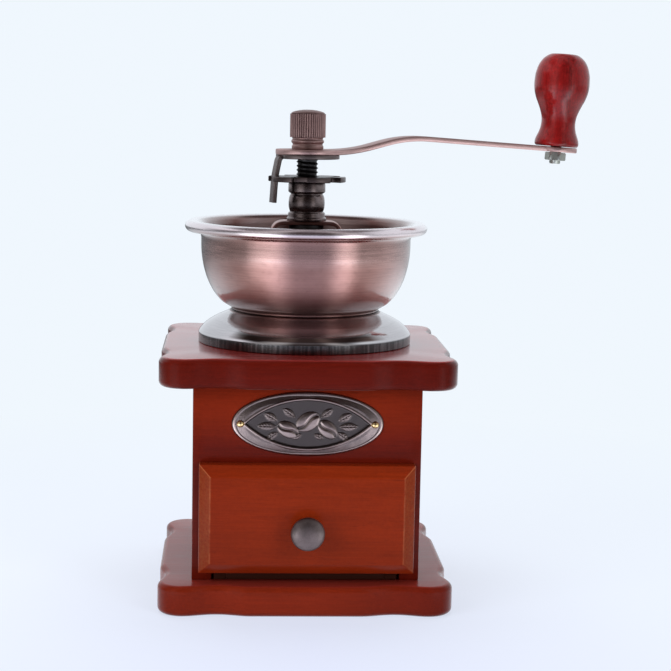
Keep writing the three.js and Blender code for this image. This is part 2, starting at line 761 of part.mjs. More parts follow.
function bearingSleeve() {
  const outer = sleeveProfileShares.map(([across, up]) => (
    [across * sleeveRadius, bridgeTop + up * sleeveLength]
  ));
  const bore = spindleRadius + fitGap;
  const spigotBottom = bridgeUnder - collarHeight;
  const profile = [
    [bore, spigotBottom], [sleeveSpigotRadius, spigotBottom], [sleeveSpigotRadius, bridgeTop],
    ...outer, [bore, sleeveTop],
  ];
  add('bearing_sleeve', revolvedRing(profile, midSides), bronze);
  const collar = tube(collarRadius, sleeveSpigotRadius + fitGap, spigotBottom, bridgeUnder, smallSides);
  add('sleeve_collar', collar, darkSteel);
}

// Threaded rod with two flats at the top that drive the crank, and a thinner end for the burr
function spindle() {
  const shoulder = augerTop + seatGap;
  const top = armTop + capNutBoreDepth - spindleTopMargin;
  const bottom = burrNutBottom - spindleTipLength;
  const blank = revolved([
    [0, bottom], [burrShaftRadius, bottom], [burrShaftRadius, shoulder], [spindleRadius, shoulder],
    [spindleRadius, top - spindleTopMargin / 4], [spindleRadius - spindleTopMargin / 4, top], [0, top],
  ], smallSides);
  const flats = [-1, 1].map((sign) => {
    const near = sign * spindleFlatHalf;
    const far = sign * (spindleRadius + overrun);
    return block(-spindleRadius - overrun, spindleRadius + overrun, Math.min(near, far), Math.max(near, far),
      lockPlateBottom - seatGap, top + overrun);
  });
  add('spindle', cut(blank, flats), darkSteel, crank);
}

// Hole that fits the spindle's two flats
function keyedHole(bottom, top) {
  const round = rod(spindleRadius + fitGap, bottom, top, smallSides);
  const reach = spindleRadius + overrun;
  const half = spindleFlatHalf + fitGap;
  return common(round, block(-reach, reach, -half, half, bottom - overrun, top + overrun));
}

function burrFasteners() {
  const bore = burrShaftRadius + fitGap;
  const washer = tube(burrWasherRadius, bore, burrWasherBottom, innerBurrBottom, smallSides);
  add('burr_washer', washer, zincSteel, crank);
  add('burr_nut', hexNut(burrNutAcrossFlats, bore, burrNutBottom, burrNutHeight), zincSteel, crank);
}

// Helix whose first and last turns lie flatter than the rest
class SpringLine extends THREE.Curve {
  constructor(bottom, top) {
    super();
    this.bottom = bottom;
    this.top = top;
  }

  getPoint(share, target = new THREE.Vector3()) {
    const angle = share * springTurns * 2 * Math.PI;
    const open = THREE.MathUtils.clamp((share - springClosedShare) / (1 - 2 * springClosedShare), 0, 1);
    const low = (Math.min(share, springClosedShare) / springClosedShare) * springClosedRise;
    const high = (Math.max(share - 1 + springClosedShare, 0) / springClosedShare) * springClosedRise;
    const height = this.bottom + low + high + open * (this.top - this.bottom - 2 * springClosedRise);
    return target.set(springRadius * Math.cos(angle), springRadius * Math.sin(angle), height);
  }
}

function leastSpringGap(line) {
  const points = line.getPoints(springTurns * springStepsPerTurn);
  const apart = Math.ceil(springStepsPerTurn / 2);
  let least = Infinity;
  points.forEach((point, i) => {
    for (let j = i + apart; j < points.length; j += 1) least = Math.min(least, point.distanceTo(points[j]));
  });
  return least - 2 * springWireRadius;
}

function pushSpring() {
  const bottom = augerTop + seatGap + springWireRadius;
  const top = bridgeUnder - collarHeight - seatGap - springWireRadius;
  const line = new SpringLine(bottom, top);
  const section = shapeOf(circlePoints(springWireRadius, springWireSides));
  const steps = springTurns * springStepsPerTurn;
  const geometry = new THREE.ExtrudeGeometry(section, { steps, extrudePath: line });
  console.log(`push_spring least gap to itself ${leastSpringGap(line).toFixed(2)} mm`);
  add('push_spring', geometry, zincSteel, crank);
}

// Notched ring that is screwed up or down the spindle and runs on the sleeve's top
function adjustingRing() {
  const shape = new THREE.Shape();
  const inner = ringRadius - ringNotchDepth;
  const half = ringNotchWidth / 2;
  const outerTurn = Math.asin(half / ringRadius);
  const innerTurn = Math.asin(half / inner);
  const pitch = (2 * Math.PI) / ringNotches;
  const arcSteps = 6;
  const points = [];
  for (let i = 0; i < ringNotches; i += 1) {
    const notch = i * pitch;
    points.push([inner * Math.cos(notch - innerTurn), inner * Math.sin(notch - innerTurn)]);
    points.push([inner * Math.cos(notch + innerTurn), inner * Math.sin(notch + innerTurn)]);
    for (let step = 0; step <= arcSteps; step += 1) {
      const angle = notch + outerTurn + (step / arcSteps) * (pitch - 2 * outerTurn);
      points.push([ringRadius * Math.cos(angle), ringRadius * Math.sin(angle)]);
    }
  }
  shape.setFromPoints(points.map(([x, y]) => new THREE.Vector2(x, y)));
  const blank = slab(shape, ringBottom, ringThickness, ringRounding, 1);
  const bore = rod(spindleRadius + fitGap, ringBottom - overrun, ringTop + overrun, smallSides);
  add('adjusting_ring', cut(blank, [bore]), bronze, crank);
}

// Keyed plate under the crank arm, with a tab bent down into a notch of the ring
function lockPlate() {
  const middle = lockPlateBottom + lockPlateThickness / 2;
  const disc = rod(lockPlateRadius, lockPlateBottom, armBottom, midSides);
  const reach = lockPlateRadius + overrun;
  const trim = block(-reach, -lockTabBend, -reach, reach, lockPlateBottom - overrun, armBottom + overrun);
  const line = curvedPath([
    [-lockTabBend / 2, middle], [-lockTabBend - lockPlateThickness / 4, middle],
    [-lockTabKnee, middle - lockTabKneeDrop], [-lockTabReach, middle - lockTabLength],
  ], lockPlateThickness, 3);
  const tab = bentStrip(line, lockPlateThickness, lockTabWidth);
  const plate = joined(cut(disc, [trim]), [tab]);
  const body = cut(plate, [keyedHole(lockPlateBottom - overrun, armBottom + overrun)]);
  add('lock_plate', body, antiqueCopper, crank);
}

// Moves a piece from the grip's own axis, with height 0 on the arm's top face, to its place on the arm
function onArmEnd(geometry) {
  const peak = armBottom + armThickness / 2 + armPeakRise;
  const middle = peak - (armReach - armPeakPlace) * Math.tan(armDroop);
  const top = middle + armThickness / 2 / Math.cos(armDroop);
  return geometry.rotateY(armDroop).translate(armReach, 0, top);
}

// Flat bar with a round hub, a swan-neck rise and a round eye under the grip
function crankArm() {
  const middle = armBottom + armThickness / 2;
  const peak = middle + armPeakRise;
  const end = armReach + armEyeRadius + overrun;
  const line = curvedPath([
    [-armHubRadius - overrun, middle], [armFlatEnd, middle],
    [armPeakPlace - armThickness, peak], [end, peak - (end - armPeakPlace) * Math.tan(armDroop)],
  ], armFlatEnd / 2, 5);
  const bar = bentStrip(line, armThickness, 2 * armHubRadius + overrun);
  const eyeTurn = Math.asin(armHalfWidth / armEyeRadius);
  const neck = [armHubRadius * Math.cos(armNeckTurn), armHubRadius * Math.sin(armNeckTurn)];
  const plan = new THREE.Shape();
  plan.moveTo(neck[0], neck[1]);
  plan.absarc(0, 0, armHubRadius, armNeckTurn, 2 * Math.PI - armNeckTurn, false);
  plan.quadraticCurveTo(armFlatEnd, -armHalfWidth, armNeckPlace, -armHalfWidth);
  plan.lineTo(armReach - armEyeRadius * Math.cos(eyeTurn), -armHalfWidth);
  plan.absarc(armReach, 0, armEyeRadius, eyeTurn - Math.PI, Math.PI - eyeTurn, false);
  plan.lineTo(armNeckPlace, armHalfWidth);
  plan.quadraticCurveTo(armFlatEnd, armHalfWidth, neck[0], neck[1]);
  const low = armBottom - armPeakRise;
  const outline = new THREE.ExtrudeGeometry(plan, {
    depth: 3 * armPeakRise + armThickness, curveSegments: 14, bevelEnabled: false,
  }).translate(0, 0, low);
  const boltHole = onArmEnd(rod(gripBoltRadius + fitGap, -armThickness - overrun, overrun, screwSides));
  const hole = keyedHole(armBottom - overrun, armTop + overrun);
  add('crank_arm', cut(common(bar, outline), [hole, boltHole]), antiqueCopper, crank);
}

// Round nut with two grooves under its grip band, closed by a dome
function capNut() {
  const profile = capNutProfileShares.map(([across, up]) => (
    [across * capNutRadius, armTop + up * capNutHeight]
  ));
  const blank = revolved([[0, armTop], ...profile], midSides);
  const bore = rod(spindleRadius + fitGap, armTop - overrun, armTop + capNutBoreDepth, smallSides);
  add('cap_nut', cut(blank, [bore]), antiqueCopper, crank);
}

// Turned grip on a bolt with a sunk head, held by a nut under the arm
function grip() {
  const outer = gripProfileShares.map(([across, up]) => [across * gripRadius, up * gripLength]);
  const floor = gripLength - gripCounterboreDepth;
  const profile = [
    [gripBoreRadius, 0], ...outer, [gripCounterboreRadius, gripLength], [gripCounterboreRadius, floor],
    [gripBoreRadius, floor],
  ];
  const wood = revolvedRing(profile, midSides).translate(0, 0, seatGap);
  add('grip', onArmEnd(wood), gripWood, gripSeat);
  const headSeat = floor + 2 * seatGap;
  const nutTop = -armThickness - seatGap;
  const nutBottom = nutTop - gripNutHeight;
  const tip = nutBottom - gripBoltTipLength;
  const headTop = headSeat + gripBoltHeadHeight;
  const bolt = revolved([
    [0, tip], [gripBoltRadius, tip], [gripBoltRadius, headSeat], [gripBoltHeadRadius, headSeat],
    [gripBoltHeadRadius, (headSeat + headTop) / 2], [gripBoltHeadRadius / 2, headTop], [0, headTop],
  ], smallSides);
  add('grip_bolt', onArmEnd(bolt), zincSteel, gripSeat);
  const nut = hexNut(gripNutAcrossFlats, gripBoltRadius + fitGap, nutBottom, gripNutHeight);
  add('grip_nut', onArmEnd(nut), zincSteel, gripSeat);
}

basePlate();
bodyPanels();
baseScrews();
topPlate();
namePlate();
drawerFront();
drawerKnob();
drawerBox();
hopperFlange();
hopperBowl();
hopperScrews();
burrHousing();
outerBurr();
bridge();
bearingSleeve();
innerBurr();
burrFasteners();
pushSpring();
spindle();
adjustingRing();
lockPlate();
crankArm();
capNut();
grip();

export default mill;
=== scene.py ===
import functools
import json
import math

import bpy
from bpy.props import FloatProperty, FloatVectorProperty, IntProperty, PointerProperty
from mathutils import Matrix, Vector

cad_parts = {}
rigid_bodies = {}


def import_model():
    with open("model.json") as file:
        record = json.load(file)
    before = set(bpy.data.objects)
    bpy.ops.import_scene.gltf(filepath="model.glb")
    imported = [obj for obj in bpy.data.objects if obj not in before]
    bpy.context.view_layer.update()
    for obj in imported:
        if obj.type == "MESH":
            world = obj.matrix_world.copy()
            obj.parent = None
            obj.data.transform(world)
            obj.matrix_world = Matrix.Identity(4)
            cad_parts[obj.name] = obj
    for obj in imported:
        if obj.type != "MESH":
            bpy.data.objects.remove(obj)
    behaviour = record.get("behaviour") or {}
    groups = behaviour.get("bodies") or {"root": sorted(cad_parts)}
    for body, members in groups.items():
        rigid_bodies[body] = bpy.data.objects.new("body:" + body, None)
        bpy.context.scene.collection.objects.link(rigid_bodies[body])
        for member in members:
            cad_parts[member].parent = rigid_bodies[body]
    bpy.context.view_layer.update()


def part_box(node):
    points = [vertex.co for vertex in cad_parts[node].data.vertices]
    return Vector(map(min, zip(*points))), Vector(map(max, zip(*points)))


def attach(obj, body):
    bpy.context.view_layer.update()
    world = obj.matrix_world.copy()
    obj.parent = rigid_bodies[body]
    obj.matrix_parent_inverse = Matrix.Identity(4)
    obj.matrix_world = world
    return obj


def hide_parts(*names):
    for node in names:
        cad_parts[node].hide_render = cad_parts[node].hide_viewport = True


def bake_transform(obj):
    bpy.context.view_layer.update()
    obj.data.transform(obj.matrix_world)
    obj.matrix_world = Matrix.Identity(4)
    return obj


bl_info = {
    "name": "Box coffee mill",
    "version": (1, 0, 0),
    "blender": (4, 5, 0),
    "location": "View3D > Sidebar > Mill",
    "description": "Dresses the packed frame of a hand coffee mill with its finished pieces",
    "category": "Object",
}

for leftover in list(bpy.data.objects):
    bpy.data.objects.remove(leftover)
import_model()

MM = 0.001
ARM_DROOP = math.radians(3.7)
CRANK = Matrix.Rotation(math.radians(16), 4, "Z")
QUARTER = math.pi / 2


# Places and outlines, in millimetres

def corners(node):
    """Lowest and highest corner of a node of the frame."""
    low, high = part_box(node)
    return low / MM, high / MM


def centre_of(node):
    low, high = corners(node)
    return (low + high) / 2


def arc(radius, turns, centre=(0.0, 0.0)):
    """Points round a centre, one for each turn."""
    return [(centre[0] + radius * math.cos(turn), centre[1] + radius * math.sin(turn)) for turn in turns]


def circle(radius, sides):
    return arc(radius, [i * math.tau / sides for i in range(sides)])


def upright(line):
    """Points of X and Z as places in the plane Y = 0."""
    return [Vector((x, 0, z)) for x, z in line]


def through(points, fine):
    """A smooth line through the points, with `fine` steps from one to the next."""
    points = [Vector(point) for point in points]
    longer = [points[0] * 2 - points[1], *points, points[-1] * 2 - points[-2]]
    line = []
    for p0, p1, p2, p3 in zip(longer, longer[1:], longer[2:], longer[3:]):
        for step in range(fine):
            t = step / fine
            line.append(tuple(0.5 * (
                2 * p1 + (p2 - p0) * t + (2 * p0 - 5 * p1 + 4 * p2 - p3) * t ** 2
                + (3 * p1 - p0 - 3 * p2 + p3) * t ** 3)))
    return line + [tuple(points[-1])]


def eased(points, radius, steps=4, closed=False, sharp=18):
    """The line with each corner sharper than `sharp` degrees turned into a small curve."""
    count = len(points)
    line = []
    for i, point in enumerate(points):
        if not closed and i in (0, count - 1):
            line.append(tuple(point))
            continue
        here = Vector(point)
        back, ahead = Vector(points[i - 1]) - here, Vector(points[(i + 1) % count]) - here
        if min(back.length, ahead.length) < 1e-6:
            continue
        if math.degrees(math.pi - back.angle(ahead)) < sharp:
            line.append(tuple(point))
            continue
        reach = min(radius, back.length * 0.45, ahead.length * 0.45)
        start, end = here + back.normalized() * reach, here + ahead.normalized() * reach
        for step in range(steps + 1):
            t = step / steps
            line.append(tuple(start * (1 - t) ** 2 + here * 2 * t * (1 - t) + end * t ** 2))
    return line


def moved_in(outline, distance):
    """A closed counter-clockwise outline moved inwards."""
    moved = []
    for i in range(len(outline)):
        before, here, after = (Vector(outline[k % len(outline)]) for k in (i - 1, i, i + 1))
        first, second = (here - before).normalized(), (after - here).normalized()
        along = (first + second).normalized()
        spread = distance / max(along.dot(second), 0.4)
        moved.append((here.x - along.y * spread, here.y + along.x * spread))
    return moved


# Solid forms, in millimetres

class Form:
    """Points and faces of one piece while it is made."""

    def __init__(self, points=(), faces=()):
        self.points = list(points)
        self.faces = list(faces)

    def ring(self, points):
        start = len(self.points)
        self.points.extend(Vector(point) for point in points)
        return list(range(start, len(self.points)))

    def skin(self, low, high):
        """Faces between two rings of the same count, or of one point and many."""
        count = max(len(low), len(high))
        for i in range(count):
            j = (i + 1) % count
            if len(low) == 1:
                self.faces.append((low[0], high[j], high[i]))
            elif len(high) == 1:
                self.faces.append((low[i], low[j], high[0]))
            else:
                self.faces.append((low[i], low[j], high[j], high[i]))

    def stack(self, rows, closed=False):
        """Skins rings one after another, and joins the last to the first or caps both ends."""
        for low, high in zip(rows, rows[1:]):
            self.skin(low, high)
        if closed:
            self.skin(rows[-1], rows[0])
            return self
        for cap in (rows[0][::-1], rows[-1]):
            if len(cap) > 1:
                self.faces.append(tuple(cap))
        return self

    def lathe(self, profile, sides=128, closed=False):
        """A profile of (radius, height) turned about Z. It runs up the outside."""
        rows = []
        for radius, height in profile:
            spots = circle(radius, sides) if radius > 1e-5 else [(0, 0)]
            rows.append(self.ring([(x, y, height) for x, y in spots]))
        return self.stack(rows, closed)

    def slab(self, outline, low, high, rounding=0.0, steps=5, hole=None):
        """An outline in X and Y between two heights, with rounded edges and perhaps a round hole."""
        levels = [(0, low), (0, high)]
        if rounding > 0:
            turns = [step / steps * QUARTER for step in range(steps + 1)]
            levels = [(rounding * (1 - math.sin(t)), low + rounding * (1 - math.cos(t))) for t in turns]
            levels += [(inset, low + high - height) for inset, height in reversed(levels)]
        rows = []
        for inset, height in levels:
            line = moved_in(outline, inset) if inset > 1e-9 else outline
            rows.append(self.ring([(x, y, height) for x, y in line]))
        if hole:
            mouth = [Vector(point[:2]).normalized() * hole for point in outline]
            rows += [self.ring([(p.x, p.y, height) for p in mouth]) for height in (high, low)]
        return self.stack(rows, bool(hole))

    def box(self, low, high):
        (x0, y0, z0), (x1, y1, z1) = low, high
        return self.slab([(x0, y0), (x1, y0), (x1, y1), (x0, y1)], z0, z1)

    def strand(self, path, section):
        """A section of (side, up) pairs carried along a path of points, with level sides."""
        rows = []
        for i, point in enumerate(path):
            along = (path[min(i + 1, len(path) - 1)] - path[max(i - 1, 0)]).normalized()
            side = along.cross(Vector((0, 0, 1))).normalized()
            up = side.cross(along)
            rows.append(self.ring([point + side * a + up * b for a, b in section]))
        return self.stack(rows[::-1])

    def turned(self, matrix):
        self.points = [matrix @ point for point in self.points]
        return self

    def moved(self, x, y, z):
        return self.turned(Matrix.Translation((x, y, z)))


def loose(name, form):
    """An object of a form, not yet a finished piece."""
    mesh = bpy.data.meshes.new(name)
    mesh.from_pydata([tuple(point * MM) for point in form.points], [], form.faces)
    mesh.validate()
    made = bpy.data.objects.new(name, mesh)
    bpy.context.scene.collection.objects.link(made)
    return made


def form_of(made):
    """The object's mesh as a form again. The object goes."""
    points = [vertex.co / MM for vertex in made.data.vertices]
    form = Form(points, [tuple(polygon.vertices) for polygon in made.data.polygons])
    bpy.data.objects.remove(made)
    return form


def turned_ring(name, profile, easing, sides, steps=3, sharp=18):
    """An object of a closed profile turned about Z, its corners eased."""
    return loose(name, Form().lathe(eased(profile, easing, steps, True, sharp), sides, True))


def band(inner, outer, low, high):
    """Profile of a plain ring."""
    return [(inner, low), (outer, low), (outer, high), (inner, high)]


def cylinder(radius, low, high, sides):
    return Form().lathe(band(0, radius, low, high), sides)


def settled(made):
    """The object's modifiers worked into its mesh."""
    bpy.context.view_layer.update()
    shape = bpy.data.meshes.new_from_object(made.evaluated_get(bpy.context.evaluated_depsgraph_get()))
    made.modifiers.clear()
    made.data = shape
    return made


def softened(made, width, segments=3, angle=32):
    """Rounds the object's sharp edges, width in millimetres."""
    bevel = made.modifiers.new("edges", "BEVEL")
    bevel.width = width * MM
    bevel.segments = segments
    bevel.limit_method = "ANGLE"
    bevel.angle_limit = math.radians(angle)
    return settled(made)


def combined(made, forms, operation="DIFFERENCE"):
    """Cuts forms out of the object, or joins them to it."""
    others = [loose(f"other_{i}", form) for i, form in enumerate(forms)]
    for other in others:
        change = made.modifiers.new(other.name, "BOOLEAN")
        change.object = other
        change.operation = operation
        change.solver = "EXACT"
    settled(made)
    for other in others:
        bpy.data.objects.remove(other)
    return made


def finished(made, body, nodes, finish, smooth=35):
    """Gives an object its material and its place on the frame, on a body unless it stretches between two."""
    made.data.materials.clear()
    made.data.materials.append(finish)
    made.data.shade_smooth()
    made.data.set_sharp_from_angle(angle=math.radians(smooth))
    if body:
        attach(made, body)
    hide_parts(*nodes)
    return made


# Node trees

class Value:
    """An output of a node tree that adds, multiplies and maps like a number."""

    def __init__(self, net, socket):
        self.net, self.socket = net, socket

    def math(self, operation, *others):
        return self.net.node("ShaderNodeMath", self, *others, operation=operation)

    def __add__(self, other):
        return self.math("ADD", other)

    def __sub__(self, other):
        return self.math("SUBTRACT", other)

    def __rsub__(self, number):
        return self.net.node("ShaderNodeMath", number, self, operation="SUBTRACT")

    def __mul__(self, other):
        return self.math("MULTIPLY", other)

    def __truediv__(self, other):
        return self.math("DIVIDE", other)

    def __abs__(self):
        return self.math("ABSOLUTE")

    def between(self, low, high, start=0.0, end=1.0):
        """Maps a range of the value to another, clamped."""
        return self.net.node("ShaderNodeMapRange", self, low, high, start, end)

    def fading(self, low, high):
        return self.between(low, high, 1.0, 0.0)

    def within(self, outer_low, low, high, outer_high):
        """1 from low to high, and 0 past the outer places."""
        return self.between(outer_low, low) * self.fading(high, outer_high)

    def distance(self):
        return self.net.node("ShaderNodeVectorMath", self, operation="LENGTH", out=1)

    def split(self):
        node = self.net.node("ShaderNodeSeparateXYZ", self).socket.node
        return [Value(self.net, socket) for socket in node.outputs]


class Net:
    """A node tree."""

    def __init__(self, tree):
        self.tree = tree

    def feed(self, socket, value):
        if isinstance(value, Value):
            self.tree.links.new(value.socket, socket)
        elif value is not None:
            socket.default_value = value

    def node(self, kind, *values, out=0, **settings):
        """Adds a node, sets it, feeds its sockets in order and returns one output."""
        node = self.tree.nodes.new(kind)
        for key, setting in settings.items():
            setattr(node, key, setting)
        for socket, value in zip(node.inputs, values):
            self.feed(socket, value)
        return Value(self, node.outputs[out])

    def end(self, kind, value):
        self.feed(self.tree.nodes.new(kind).inputs[0], value)

    def vector(self, x, y, z):
        return self.node("ShaderNodeCombineXYZ", x, y, z)

    def vectors(self, operation, first, second):
        return self.node("ShaderNodeVectorMath", first, second, operation=operation)

    def mix(self, share, first, second, mode="MIX"):
        """Two colours by a share. The mixer's five number and vector sockets stay as they are."""
        return self.node("ShaderNodeMix", share, *[None] * 5, first, second, out=2, data_type="RGBA",
                         blend_type=mode)

    def stretch(self, vector, scale, turn=(0, 0, 0), shift=(0, 0, 0)):
        return self.node("ShaderNodeMapping", vector, shift, turn, scale)

    def noise(self, vector, scale, detail, roughness=0.5):
        """Noise at one scale, or at one for each axis."""
        if isinstance(scale, tuple):
            vector, scale = self.stretch(vector, scale), 1.0
        return self.node("ShaderNodeTexNoise", vector, None, scale, detail, roughness)


def rgba(colour, factor=1.0):
    return (colour[0] * factor, colour[1] * factor, colour[2] * factor, 1.0)


# Materials

PER_METRE = (1 / MM, 1 / MM, 1 / MM)


class Finish(Net):
    """A material with one principled shader, whose base colour and roughness are built up step by step.
    place is a point of the piece in metres, and grid is the same in millimetres."""

    def __init__(self, name, **sockets):
        self.material = bpy.data.materials.new(name)
        self.material.use_nodes = True
        super().__init__(self.material.node_tree)
        self.tree.nodes.clear()
        shader = self.node("ShaderNodeBsdfPrincipled")
        self.inputs = shader.socket.node.inputs
        self.end("ShaderNodeOutputMaterial", shader)
        self.set(**sockets)
        self.place = self.node("ShaderNodeTexCoord", out="Object")
        self.grid = self.stretch(self.place, PER_METRE)

    def set(self, **sockets):
        for key, value in sockets.items():
            self.feed(self.inputs[key.replace("_", " ")], value)

    def bump(self, height, strength, depth):
        self.set(Normal=self.node("ShaderNodeBump", strength, depth, None, height))

    def facing(self):
        """0 where the surface is seen square on, 1 at a flat angle."""
        return self.node("ShaderNodeLayerWeight", 0.5, out=1)

    def cover(self, share, colour, mode="MIX"):
        """Lays that share of a colour over the base colour."""
        self.base = self.mix(share, self.base, colour, mode)

    def darken(self, share, colour):
        self.cover(share, colour, "MULTIPLY")

    def done(self):
        """Feeds the shader and gives the material."""
        self.set(Base_Color=self.base, Roughness=self.rough)
        return self.material


class Wood(Finish):
    """Stained wood under clear lacquer, with its grain along one axis.
    deep and light are the shares of the colour in its darkest and palest parts, and streak is their contrast.
    coat and sheen are the lacquer's share seen square on and at a flat angle, and gloss is its roughness."""

    def __init__(self, name, colour, along="X", deep=0.55, light=1.32, streak=0.85, gloss=0.2, coat=0.09,
                 sheen=0.8):
        super().__init__(name, IOR=1.12, Coat_Roughness=gloss, Coat_IOR=1.55)
        self.set(Coat_Weight=self.facing().between(0.25, 0.8, coat, sheen))
        turn = {"X": (0, 0, 0), "Y": (0, 0, QUARTER), "Z": (0, QUARTER, 0)}[along]
        grain = self.stretch(self.place, PER_METRE, turn)
        sway = self.noise(grain, (0.012, 0.05, 0.05), 2)
        bent = self.vectors("ADD", grain, self.vector(0.0, sway * 9.0, sway * 7.0))
        self.broad = self.noise(bent, (0.006, 0.09, 0.09), 4, 0.6)
        self.fibre = self.noise(bent, (0.03, 1.3, 1.3), 5, 0.65)
        self.mottle = self.noise(self.grid, 0.9, 4, 0.7)
        self.tone = self.broad * 0.42 + self.fibre * 0.36 + self.mottle * 0.22
        fine = self.noise(bent, (0.12, 5.0, 5.0), 3, 0.6)
        pore = self.noise(bent, (0.13, 3.2, 3.2), 2).between(0.64, 0.76)
        spread = 0.2 / streak
        pale = self.tone.between(0.5 - spread, 0.5 + spread)
        self.base = self.mix(pale, rgba(colour, deep), rgba(colour, light))
        self.darken(fine.between(0.3, 0.7, 0.0, 0.45 * streak), (0.72, 0.6, 0.6, 1))
        self.cover(pore * (0.55 * streak), rgba(colour, 0.25))
        self.rough = self.fibre.between(0.3, 0.7, 0.38, 0.52)
        self.bump(self.fibre + fine * 0.35 + self.mottle * 0.5 - pore * 0.6, 0.1, 0.4 * MM)

    def stain_and_shade(self, centre, reach, strength):
        """The colour deepens away from the centre: partly uneven colouring of the wood, partly painted shade
        towards the edges and the lower sides.
        """
        scale = [1 / MM / r for r in reach]
        away = self.stretch(self.place, scale, shift=[-c / r for c, r in zip(centre, reach)])
        patchy = away.distance() + (self.broad - 0.5) * 0.8
        # painted shade, mixed with the wood's uneven colour: darker away from the centre
        self.darken(patchy.between(0.5, 1.25, 0.0, strength), (0.5, 0.36, 0.6, 1))
        return self

    def dip(self, front, colour):
        """In front of that place the wood is painted in that colour: painted shade, for wood that stands in
        shadow under the drawer front.
        """
        x, y, z = self.grid.split()
        self.cover((y + self.fibre * 4.0).fading(front, front + 3.0), rgba(colour))
        return self

    def painted_top_light(self, height, colour):
        """The face at that height is painted brighter: painted light, as more light falls on the top face."""
        x, y, z = self.grid.split()
        bright = self.mix(self.tone.between(0.35, 0.65), rgba(colour, 0.8), rgba(colour, 1.15))
        self.cover(z.between(height - 0.5, height - 0.05), bright)
        return self

    def painted_bevel_highlights(self, low, high, inset):
        """The bevels at that box's sides, and the lines round them, are painted paler: painted highlights
        where the side bevels, their edges and the top mitres catch the light.
        """
        middle, half = (low + high) / 2, (high - low) / 2
        x, y, z = self.grid.split()
        side, end = half.x - abs(x - middle.x), half.z - abs(z - middle.z)
        side_face = side.fading(inset - 0.2, inset + 0.2) * (end - side).between(0.0, 0.3)
        # painted highlight on the side bevels
        self.cover(side_face * self.mottle.between(0.3, 0.7, 0.0, 0.55), (0.19, 0.05, 0.013, 1))
        mitre = abs(side - end).fading(0.05, 0.4) * side.math("MINIMUM", end).fading(inset, inset + 0.3)
        mitre = mitre * z.between(high.z - inset - 1, high.z - inset)
        line = abs(side - inset).between(0.1, 0.5, 0.7, 0.0) * (end - inset).between(-0.2, 0.2)
        line = line * self.broad.between(0.42, 0.62, 0.1, 1.0)
        # painted highlight lines along the bevel edges and the top mitres
        self.cover(mitre.math("MAXIMUM", line) * 0.55, (0.42, 0.13, 0.05, 1))
        return self


